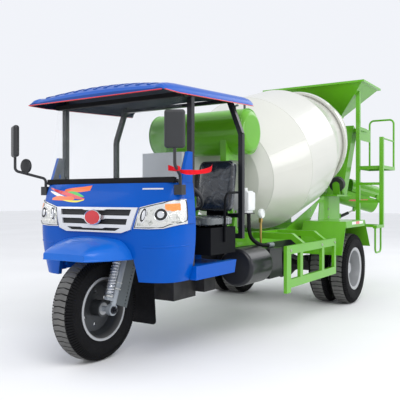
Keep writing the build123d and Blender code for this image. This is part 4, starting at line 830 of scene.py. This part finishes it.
def make_cheeks():
    # Dark inner panels of the screen corners, each with a hole and a turned edge
    for side, word in SIDES:
        shape = Shape()
        corners = [(152, 1297), (286, 1297), (286, 1523), (237, 1523)]
        centre = Vector((0, 0.243, 1.372))
        loops = []
        for x in (636.5, 632.5):
            outer, inner = [], []
            for k in range(48):
                a = 2 * math.pi * k / 48
                way = Vector((math.cos(a), math.sin(a)))
                best = 9.0
                for (y0, z0), (y1, z1) in zip(corners, corners[1:] + corners[:1]):
                    ex, ez = (y1 - y0) / 1000, (z1 - z0) / 1000
                    cross = way.x * ez - way.y * ex
                    if abs(cross) < 1e-9:
                        continue
                    qy, qz = y0 / 1000 - centre.y, z0 / 1000 - centre.z
                    t = (qy * ez - qz * ex) / cross
                    u = (qy * way.y - qz * way.x) / cross
                    if t > 0 and -1e-6 <= u <= 1 + 1e-6:
                        best = min(best, t)
                outer.append(at(side * x / 1000, centre.y + way.x * best, centre.z + way.y * best))
                inner.append(at(side * x / 1000, centre.y + way.x * 0.013, centre.z + way.y * 0.019))
            loops += [outer, inner]
        rings = [[shape.bm.verts.new(p) for p in loop] for loop in (loops[0], loops[1], loops[3], loops[2])]
        for one, two in zip(rings, rings[1:] + rings[:1]):
            for k in range(48):
                shape.bm.faces.new((one[k], one[(k + 1) % 48], two[(k + 1) % 48], two[k]))
        edge = [mm(side * 634, y, z) for y, z in corners]
        tube(shape, edge + edge[:2], 0.0035, 8)
        shape.done("cheek_panel_" + word, "cheek", "chassis")


def make_lamps():
    lamp = tree_of("headlamps")
    for side, word in SIDES:
        edge = [lamp_point(lamp, side, spot, 0.001) for spot in LAMP_RING]
        points = [p for p, n in edge if p is not None]
        ring = Shape()
        tube(ring, points + points[:2], 0.0032, 8)
        ring.done("lamp_seal_" + word, "black", "chassis")
        inside = Shape()
        rows = lamp_grid(lamp, side, 0.400, 0.620, lambda s: 0.996 + 0.030 * s ** 1.5,
                         lambda s: 1.108 + 0.055 * s, 0.0015, 28, 12, angle=0)
        patch(inside, rows, 0.0012)
        inside.done("lamp_reflector_" + word, "facet", "chassis")
        # painted shade: dark discs laid flat on the lamp stand in for the shade inside the reflector bowls
        bowl_shade = Shape()
        disc_on(lamp, side, 0.447, 1.072, 0.021, 0.046, 0.0032, 0.002, bowl_shade, lean=0.18)
        disc_on(lamp, side, 0.578, 1.078, 0.041, 0.040, 0.0035, 0.002, bowl_shade)
        bowl_shade.done("lamp_bowl_shade_" + word, "dark", "chassis")
        bright = Shape()
        disc_on(lamp, side, 0.450, 1.072, 0.013, 0.034, 0.0052, 0.002, bright, lean=0.18)
        disc_on(lamp, side, 0.578, 1.078, 0.024, 0.024, 0.0056, 0.002, bright)
        turns = [2 * math.pi * k / 32 for k in range(34)]
        rings = [lamp_point(lamp, side, (0.578 + 0.046 * math.cos(a), 1.078 + 0.045 * math.sin(a)), 0.003)[0]
                 for a in turns]
        tube(bright, rings, 0.003, 8)
        leaf = [lamp_point(lamp, side, (0.447 + 0.024 * math.cos(a) + 0.18 * 0.05 * math.sin(a),
                                        1.072 + 0.050 * math.sin(a)), 0.003)[0] for a in turns]
        tube(bright, leaf, 0.0025, 8)
        bright.done("lamp_lights_" + word, "chrome", "chassis")
        amber = Shape()
        rows = lamp_grid(lamp, side, 0.640, 0.668, lambda s: 1.100 + 0.008 * s, lambda s: 1.138 + 0.018 * s,
                         0.003, 16, 3, angle=-14)
        patch(amber, rows, 0.002)
        amber.done("lamp_amber_" + word, "amber", "chassis")


# Front fork

def forkframe(x, y, z):
    # A point of the raked steering frame, in millimetres
    rake = math.radians(FORK_RAKE_DEG)
    s, c = math.sin(rake), math.cos(rake)
    return mm(x, FORK_TRAIL * c + y * c + z * s, HUB_Z - FORK_TRAIL * s - y * s + z * c)


def make_fork():
    for side, word in SIDES:
        coil = Shape()
        steps = 20
        path = []
        for k in range(COIL_TURNS * steps + 1):
            a = 2 * math.pi * k / steps
            z = COIL_LOW + (COIL_HIGH - COIL_LOW) * k / (COIL_TURNS * steps)
            path.append(forkframe(side * STRUT_X + COIL_R * math.cos(a), STRUT_Y + COIL_R * math.sin(a), z))
        tube(coil, path, 0.0055, 8)
        coil.done("fork_coil_" + word, "satin", "fork")
        shape = Shape()
        for y, z0, z1, r in ((STRUT_Y, 81, 91, 0.031), (STRUT_Y, 399, 409, 0.031), (LEG_Y, 150, 158, 0.034),
                             (LEG_Y, 196, 204, 0.0335)):
            shape.rod(forkframe(side * STRUT_X, y, z0), forkframe(side * STRUT_X, y, z1), r, sides=28)
        shape.done("fork_collars_" + word, "steel", "fork")
        nut = Shape()
        nut.rod(mm(side * 166, 0, HUB_Z), mm(side * 176, 0, HUB_Z), 0.028, sides=28)
        nut.rod(mm(side * 176, 0, HUB_Z), mm(side * 192, 0, HUB_Z), 0.020, sides=6)
        nut.rod(mm(side * 192, 0, HUB_Z), mm(side * 204, 0, HUB_Z), 0.010, sides=14)
        nut.done("axle_nut_" + word, "black", "fork")
    hub = Shape()
    hub.rod(mm(96, 0, HUB_Z), mm(122, 0, HUB_Z), 0.014, sides=6)
    hub.rod(mm(120, 0, HUB_Z), mm(128, 0, HUB_Z), 0.008, sides=14)
    hub.done("hub_nut", "brass", "fork")


# Front mudguard

GUARD_RINGS = [
    # y, ridge half width, ridge height, crown height, lip half width
    (-334, 190, 802, 805, 197), (-320, 196, 811, 818, 212), (-285, 205, 826, 842, 240),
    (-230, 217, 845, 871, 272), (-165, 231, 864, 893, 306), (-100, 243, 879, 906, 336),
    (-40, 251, 889, 912, 356), (20, 255, 895, 916, 362),
]
GUARD_LIP_Z = 757


def make_mudguard():
    low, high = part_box("front_mudguard")
    span = (high.x - low.x) * 500 - 2
    rows = []
    for y, ridge, ridge_z, crown_z, wide in GUARD_RINGS:
        wide = min(wide, span)
        drop = ridge_z - GUARD_LIP_Z
        side = [(wide, GUARD_LIP_Z), (wide + 1.5, GUARD_LIP_Z + 6), (wide - 3, GUARD_LIP_Z + 10),
                (wide - 5, GUARD_LIP_Z + 14)]
        side += [(ridge + (wide - ridge) * a, ridge_z - drop * b) for a, b in ((0.80, 0.55), (0.42, 0.20))]
        side += [(ridge + 5, ridge_z - 4), (ridge - 4, ridge_z + 1)]
        rise = crown_z - ridge_z - 1
        top = [((ridge - 4) * k, ridge_z + 1 + rise * (1 - k * k)) for k in (0.8, 0.55, 0.28, 0.0)]
        half = side + top
        rows.append([mm(x, y, z) for x, z in half + [(-x, z) for x, z in half[-2::-1]]])
    shape = Shape()
    made = shape.grid(rows)
    count = len(made[0])
    face = [made[0]]
    for share in (0.1, 0.5, 0.9, 1.0):
        row = []
        for place in rows[0]:
            z = place.z + (GUARD_LIP_Z / 1000 - place.z) * share
            push = 0.0015 if share in (0.9, 1.0) else 0.0
            row.append(shape.bm.verts.new(Vector((place.x, place.y - push, z))))
        face.append(row)
    for one, two in zip(face, face[1:]):
        for j in range(count - 1):
            shape.bm.faces.new((one[j + 1], one[j], two[j], two[j + 1]))
    bmesh.ops.remove_doubles(shape.bm, verts=shape.bm.verts, dist=0.0002)
    guard = shape.done("front_mudguard_hood", "hood", "chassis", angle=32)
    thick = guard.modifiers.new("thick", "SOLIDIFY")
    thick.thickness = 0.003
    thick.offset = -1
    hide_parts("front_mudguard")
    # a pressed crease and its highlight along the nose's lower side
    nose = tree_of("cab_nose")
    for side, word in SIDES:
        crease = Shape()
        grid = []
        for dz, lift in ((0, 0.0004), (5, 0.0030), (9, 0.0034), (14, 0.0004)):
            row = []
            for k in range(28):
                z = 0.840 + dz / 1000 + 0.014 * k / 27
                if k < 12:
                    row.append(onto(nose, at(side * (0.44 + 0.018 * k), -0.6, z), (0, 1, 0), lift))
                else:
                    turn = math.radians(-46 + 60 * (k - 12) / 15)
                    way = Vector((math.cos(turn) * side, math.sin(turn), 0))
                    row.append(onto(nose, at(0.50 * side, 0.16, z) + way * 0.6, -way, lift))
            grid.append(row)
        patch(crease, grid, 0.0012)
        crease.done("nose_crease_" + word, "blue", "chassis")


# Rubber flap behind the front wheel

def make_flap():
    low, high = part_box("front_mudflap")
    top, wide, corner = high.z, high.x - 0.001, 0.030
    outline = []
    for k in range(9):
        a = math.pi / 2 * k / 8
        outline.append((wide - corner + corner * math.cos(a), low.z + corner - corner * math.sin(a)))
    outline = [(wide * 0.86, top)] + [(wide * (0.86 + 0.14 * k / 6), top + (low.z + corner - top) * k / 6)
                                      for k in range(1, 6)] + outline
    outline += [(-x, z) for x, z in outline[::-1]]
    shape = Shape()
    middle = (low.y + high.y) / 2
    front = [shape.bm.verts.new(Vector((x, middle - 0.003, z))) for x, z in outline]
    back = [shape.bm.verts.new(Vector((x, middle + 0.003, z))) for x, z in outline]
    count = len(front)
    for j in range(count):
        i = (j + 1) % count
        shape.bm.faces.new((front[j], front[i], back[i], back[j]))
    shape.bm.faces.new(front[::-1])
    shape.bm.faces.new(back)
    flap = shape.done("front_flap", "rubber", "chassis", bevel=0.001)
    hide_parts("front_mudflap")
    rail = Shape()
    reach = wide * 0.84
    rail.box((-reach, middle - 0.005, top - 0.030), (reach, middle + 0.004, top - 0.006), bevel=0.001)
    for k in range(5):
        rail.hexbolt(Vector((wide * 0.35 * (k - 2), middle - 0.005, top - 0.018)), (0, -1, 0), 0.008, 0.006)
    rail.done("flap_rail", "guard", "chassis")


# Roof trim

def roof_edge(y):
    return 1926 + 56 / (1228 - 125) * max(0, y - 125)


def make_roof_trim():
    trim = Shape()
    for side in (-1, 1):
        path = [mm(side * 667, y, roof_edge(y) - 1) for y in range(-50, 1226, 25)]
        tube(trim, path, 0.004, 8)
    tube(trim, [mm(x, -61, 1925) for x in range(-664, 665, 32)], 0.004, 8)
    trim.done("roof_trim", "red", "chassis")


# Seat

def pad(name, low, high, place, body, finish):
    # A cushion blown up inside its cover, from a rounded block slightly under size
    shape = Shape()
    size = Vector(high) - Vector(low)
    bmesh.ops.create_cube(shape.bm, size=1.0)
    bmesh.ops.transform(shape.bm, matrix=Matrix.Diagonal((*size, 1)), verts=shape.bm.verts)
    bmesh.ops.subdivide_edges(shape.bm, edges=list(shape.bm.edges), cuts=15, use_grid_fill=True)
    half = size / 2
    thin = min(range(3), key=lambda i: size[i])
    wide = [i for i in range(3) if i != thin]
    for v in shape.bm.verts:
        u = [v.co[i] / half[i] for i in range(3)]
        # round the outline's corners and crown the two broad faces
        a, b = v.co[wide[0]], v.co[wide[1]]
        ia, ib = half[wide[0]] - PAD_CORNER, half[wide[1]] - PAD_CORNER
        da, db = max(abs(a) - ia, 0), max(abs(b) - ib, 0)
        length = math.hypot(da, db)
        if length > PAD_CORNER:
            v.co[wide[0]] = math.copysign(ia + da / length * PAD_CORNER, a)
            v.co[wide[1]] = math.copysign(ib + db / length * PAD_CORNER, b)
        edge = max(abs(u[wide[0]]), abs(u[wide[1]]))
        v.co[thin] *= 1 - 0.42 * edge ** 6
        puff = (1 - u[wide[0]] ** 2) * (1 - u[wide[1]] ** 2)
        rough = noise.noise(v.co * 14) * 0.0035 + noise.noise(v.co * 37) * 0.0016
        v.co[thin] += math.copysign(0.006 * puff, v.co[thin]) + rough * (1 if abs(u[thin]) > 0.9 else 0.3)
    for v in shape.bm.verts:
        v.co = place @ v.co
    obj = shape.done(name, finish, body, angle=60)
    mod = obj.modifiers.new("smooth", "SUBSURF")
    mod.levels = mod.render_levels = 1
    return obj


def make_seat():
    low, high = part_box("seat_cushion")
    middle, size = (low + high) / 2, high - low
    half = size / 2 - Vector((0.006, 0.006, 0.008))
    cushion = pad("seat_cushion_pad", -half, half, Matrix.Translation(middle), "chassis", "film_pale")
    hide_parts("seat_cushion")
    back_low, back_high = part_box("seat_back")
    middle = (back_low + back_high) / 2
    half = Vector((0.169, 0.036, 0.208))
    turn = Matrix.Translation(middle) @ Matrix.Rotation(math.radians(SEAT_LEAN_DEG), 4, "X")
    back = pad("seat_back_pad", -half, half, turn, "chassis", "film")
    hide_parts("seat_back")
    piping = Shape()
    loop = []
    for k in range(72):
        a = 2 * math.pi * k / 72
        c, s = math.cos(a), math.sin(a)
        x = math.copysign(abs(c) ** 0.32, c) * 0.160
        z = math.copysign(abs(s) ** 0.32, s) * 0.199
        loop.append(turn @ Vector((x, -0.031, z)))
    tube(piping, loop + loop[:2], 0.0035, 8)
    piping.done("seat_piping", "plastic", "chassis")


# Ribbon on the left mirror's arm

def make_ribbon():
    spine = [(0.612, 0.06, 1.402), (0.640, 0.075, 1.395), (0.668, 0.095, 1.385), (0.700, 0.125, 1.374),
             (0.728, 0.170, 1.372), (0.764, 0.250, 1.378), (0.798, 0.315, 1.396), (0.800, 0.335, 1.420)]
    path = smooth_path([at(*p) for p in spine], 6)
    shape = Shape()
    rows = []
    for i, p in enumerate(path):
        share = i / (len(path) - 1)
        twist = 0.5 * math.sin(7 * share) + 0.25 * noise.noise(Vector((share * 5, 1, 2)))
        half = 0.018 * (0.60 + 0.45 * min(1, abs(share - 0.33) * 4))
        up = Vector((math.sin(twist) * 0.6, -math.sin(twist) * 0.5, math.cos(twist)))
        rows.append([p + up * half * k for k in (-1, -0.33, 0.33, 1)])
    shape.grid(rows)
    ribbon = shape.done("mirror_ribbon", "ribbon", "chassis", recalc=False)
    knot = Shape()
    knot.revolve([(-0.018, 0.009), (-0.013, 0.021), (0.0, 0.025), (0.013, 0.020), (0.018, 0.009)],
                 Matrix.Translation(at(0.737, -0.011, 1.392)) @ Matrix.Rotation(math.radians(90), 4, "Y"),
                 steps=20)
    knot.done("ribbon_knot", "ribbon", "chassis")


# Drum seams and the marks on the body

DRUM_MIDDLE = at(0, 2.786, 1.654)
DRUM_AXIS = Vector((0.0, 0.966376, 0.257133)).normalized()
# Places of the ring welds along the axis, and each straight weld's bearing, start and end
DRUM_RINGS = (-0.92, -0.38, 0.38)
DRUM_WELDS = ((0.35, -0.91, -0.39), (2.4, -0.37, 0.37), (4.5, -0.91, -0.39))


def make_drum_seams():
    drum = tree_of("drum_shell")
    across = Vector((1, 0, 0))
    up = across.cross(DRUM_AXIS).normalized()
    for index, along in enumerate(DRUM_RINGS):
        seam = Shape()
        path = []
        for k in range(97):
            a = 2 * math.pi * k / 96
            way = across * math.cos(a) + up * math.sin(a)
            path.append(onto(drum, DRUM_MIDDLE + DRUM_AXIS * along + way * 1.1, -way, -0.0008)[0])
        path = [p for p in path if p is not None]
        tube(seam, path, 0.0035, 8)
        seam.done("drum_seam_" + str(index), "drum", "drum")
    for index, (turn, low, high) in enumerate(DRUM_WELDS):
        seam = Shape()
        path = []
        for k in range(25):
            way = across * math.cos(turn) + up * math.sin(turn)
            along = low + (high - low) * k / 24
            path.append(onto(drum, DRUM_MIDDLE + DRUM_AXIS * along + way * 1.1, -way, -0.0008)[0])
        tube(seam, [p for p in path if p is not None], 0.003, 8)
        seam.done("drum_weld_" + str(index), "drum", "drum")


def tape_run(name, node, starts, way, height, slices):
    # Reflective tape in red and white lengths, laid on a node from one end to the other
    tree = tree_of(node)
    one, two = starts
    for k in range(slices):
        rows = []
        for h in (-0.5, 0.5):
            row = []
            for j in range(7):
                share = (k + j / 6) / slices
                start = one.lerp(two, share) + Vector((0, 0, height * h))
                row.append(onto(tree, start, way, 0.0005))
            rows.append(row)
        if met(rows):
            tape = Shape()
            patch(tape, rows, 0.0008)
            finish = "red_tape" if k % 2 else "white_tape"
            tape.done(name + "_" + str(k), finish, "chassis", smooth=False)


def make_marks():
    for side, word in SIDES:
        ends = (mm(side * 1100, 3040, 916), mm(side * 1100, 3430, 916))
        tape_run("fender_tape_" + word, "rear_mudguards", ends, Vector((-side, 0, 0)), 0.030, 3)
    chute = tree_of("chute")
    rows = [[onto(chute, mm(900 + 250 * t / 8, 4900 + 180 * t / 8, z), (-1, 0, 0), 0.0012)
             for t in range(9)] for z in (1150, 1172)]
    if met(rows):
        strip = Shape()
        patch(strip, rows, 0.0008)
        strip.done("chute_tape", "red_tape", "main_chute", smooth=False)


# Tank end, bottle, pipes and handle on the cab's left side

def make_side_fittings():
    ends = Shape()
    for side in (1, -1):
        path = [mm(side * 492, 1480 + 206 * math.cos(a), 1800 + 206 * math.sin(a))
                for a in (2 * math.pi * k / 64 for k in range(66))]
        tube(ends, path, 0.005, 8)
    ends.done("tank_flanges", "green", "chassis")
    pipes = Shape()
    for radius, points in (
            (0.011, [(470, 1440, 1985), (470, 1435, 2035), (478, 1430, 2048), (500, 1425, 2050)]),
            (0.010, [(360, 1460, 1995), (360, 1455, 2030), (372, 1450, 2040), (396, 1445, 2040)])):
        tube(pipes, smooth_path([mm(*point) for point in points], 6), radius, 12)
    pipes.done("tank_fittings", "guard", "chassis")
    bottle = Shape()
    bottle.box(mm(484, 1202, 1082), mm(636, 1338, 1246), bevel=0.022)
    bottle.rod(mm(560, 1270, 1244), mm(560, 1270, 1268), 0.030, 0.026, sides=28)
    bottle.done("bottle_body", "milk", "chassis", angle=50)
    handle = Shape()
    tube(handle, smooth_path([mm(684, 715, 850), mm(684, 715, 1000), mm(686, 715, 1160), mm(688, 728, 1210),
                              mm(688, 765, 1232), mm(684, 850, 1236), mm(668, 965, 1238)], 8), 0.0095, 14)
    handle.done("seat_handle", "soot", "chassis")
    hose = Shape()
    route = [mm(600, 1270, 1084), mm(600, 1274, 960), mm(600, 1300, 865), mm(602, 1370, 812),
             mm(604, 1480, 775), mm(606, 1600, 757), mm(606, 1720, 757)]
    tube(hose, smooth_path(route, 10), 0.017, 18)
    hose.done("bottle_hose", "rubber", "chassis")
    sleeve = Shape()
    sleeve.rod(mm(606, 1640, 757), mm(606, 1738, 757), 0.0215, sides=28)
    for y in (1652, 1726):
        sleeve.rod(mm(606, y - 5, 757), mm(606, y + 5, 757), 0.0235, sides=28)
    sleeve.done("hose_sleeve", "grey", "chassis")
    gauge = Shape()
    gauge.rod(mm(500, 1700, 733), mm(500, 1700, 1020), 0.011, sides=16)
    gauge.box(mm(486, 1680, 960), mm(514, 1720, 1010), bevel=0.006)
    gauge.done("gauge_post", "brass", "chassis")
    face = Shape()
    place = Matrix.Translation(mm(505, 1700, 1045))
    section = [(-0.018, 0.001), (-0.018, 0.040), (-0.010, 0.046), (0.012, 0.046), (0.020, 0.040),
               (0.021, 0.034), (0.016, 0.032), (0.016, 0.001)]
    face.revolve(section, place, steps=40)
    face.done("gauge_case", "milk", "chassis")


# Lamps at the back, mirror faces, wheel nuts and bolt heads

def make_small_parts():
    fender = tree_of("rear_mudguards")
    for side, word in SIDES:
        lamps = Shape()
        for z0, z1 in ((700, 742), (746, 788)):
            rows = [[onto(fender, mm(side * (700 + 150 * k / 8), 4000, z0 + (z1 - z0) * j / 4), (0, -1, 0),
                          0.018 if 0 < k < 8 and 0 < j < 4 else 0.002) for k in range(9)] for j in range(5)]
            if met(rows):
                patch(lamps, rows, 0.001)
        if lamps.bm.verts:
            lamps.done("tail_lamps_" + word, "red", "chassis")
        nuts = Shape()
        low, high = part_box("rear_rims_" + word)
        rim = tree_of("rear_rims_" + word)
        mid = (low + high) / 2
        for k in range(8):
            a = 2 * math.pi * (k + 0.5) / 8
            start = Vector((side * 1.1, mid.y + 0.100 * math.cos(a), mid.z + 0.100 * math.sin(a)))
            bolts(nuts, rim, [start], (-side, 0, 0), 0.014, 0.018)
        nuts.done("wheel_nuts_" + word, "steel", "rear_wheels_" + word)
    mirrors = tree_of("mirrors")
    wide, tall = MIRROR_GLASS
    steps = (-1, -0.5, 0, 0.5, 1)
    for side, word in SIDES:
        turn = math.radians(MIRROR_YAW_DEG * side)
        back = Vector((-math.sin(turn), math.cos(turn), 0))
        along = Vector((math.cos(turn), math.sin(turn), 0))
        middle = mm(MIRROR_X * side, MIRROR_Y, MIRROR_Z) + back * 0.3
        spots = [[middle + along * (wide / 1000 * u) + Vector((0, 0, tall / 1000 * v)) for u in steps]
                 for v in steps]
        rows = [[onto(mirrors, spot, -back, 0.0015) for spot in line] for line in spots]
        glass = Shape()
        if met(rows):
            patch(glass, rows, 0.001)
            glass.done("mirror_glass_" + word, "mirror", "chassis", smooth=False)
    heads = Shape()
    for node, starts, way in (
            ("side_guards", [mm(1100, y, z) for y in (1480, 2230, 2590) for z in (735, 838)], (-1, 0, 0)),
            ("hopper", [mm(x, 6000, z) for x in (-300, -100, 100, 300) for z in (2450, 2600)], (0, -1, 0)),
            ("front_pedestal", [mm(1100, y, z) for y in (1420, 1560) for z in (950, 1100)], (-1, 0, 0)),
            ("rear_pedestal", [mm(1100, y, z) for y in (2850, 3300, 3900) for z in (950, 1050)],
             (-1, 0, 0))):
        bolts(heads, tree_of(node), starts, way, 0.010, 0.008)
    heads.done("bolt_heads", "steel", "chassis")


def main():
    bpy.context.scene.view_settings.view_transform = "Standard"
    make_camera()
    make_stage()
    smooth_cad()
    dress_cad()
    make_tyres()
    make_streaks()
    make_grille()
    make_lamps()
    make_fork()
    make_mudguard()
    make_flap()
    make_roof_trim()
    make_seat()
    make_cheeks()
    make_ribbon()
    make_drum_seams()
    make_marks()
    make_side_fittings()
    make_small_parts()


main()
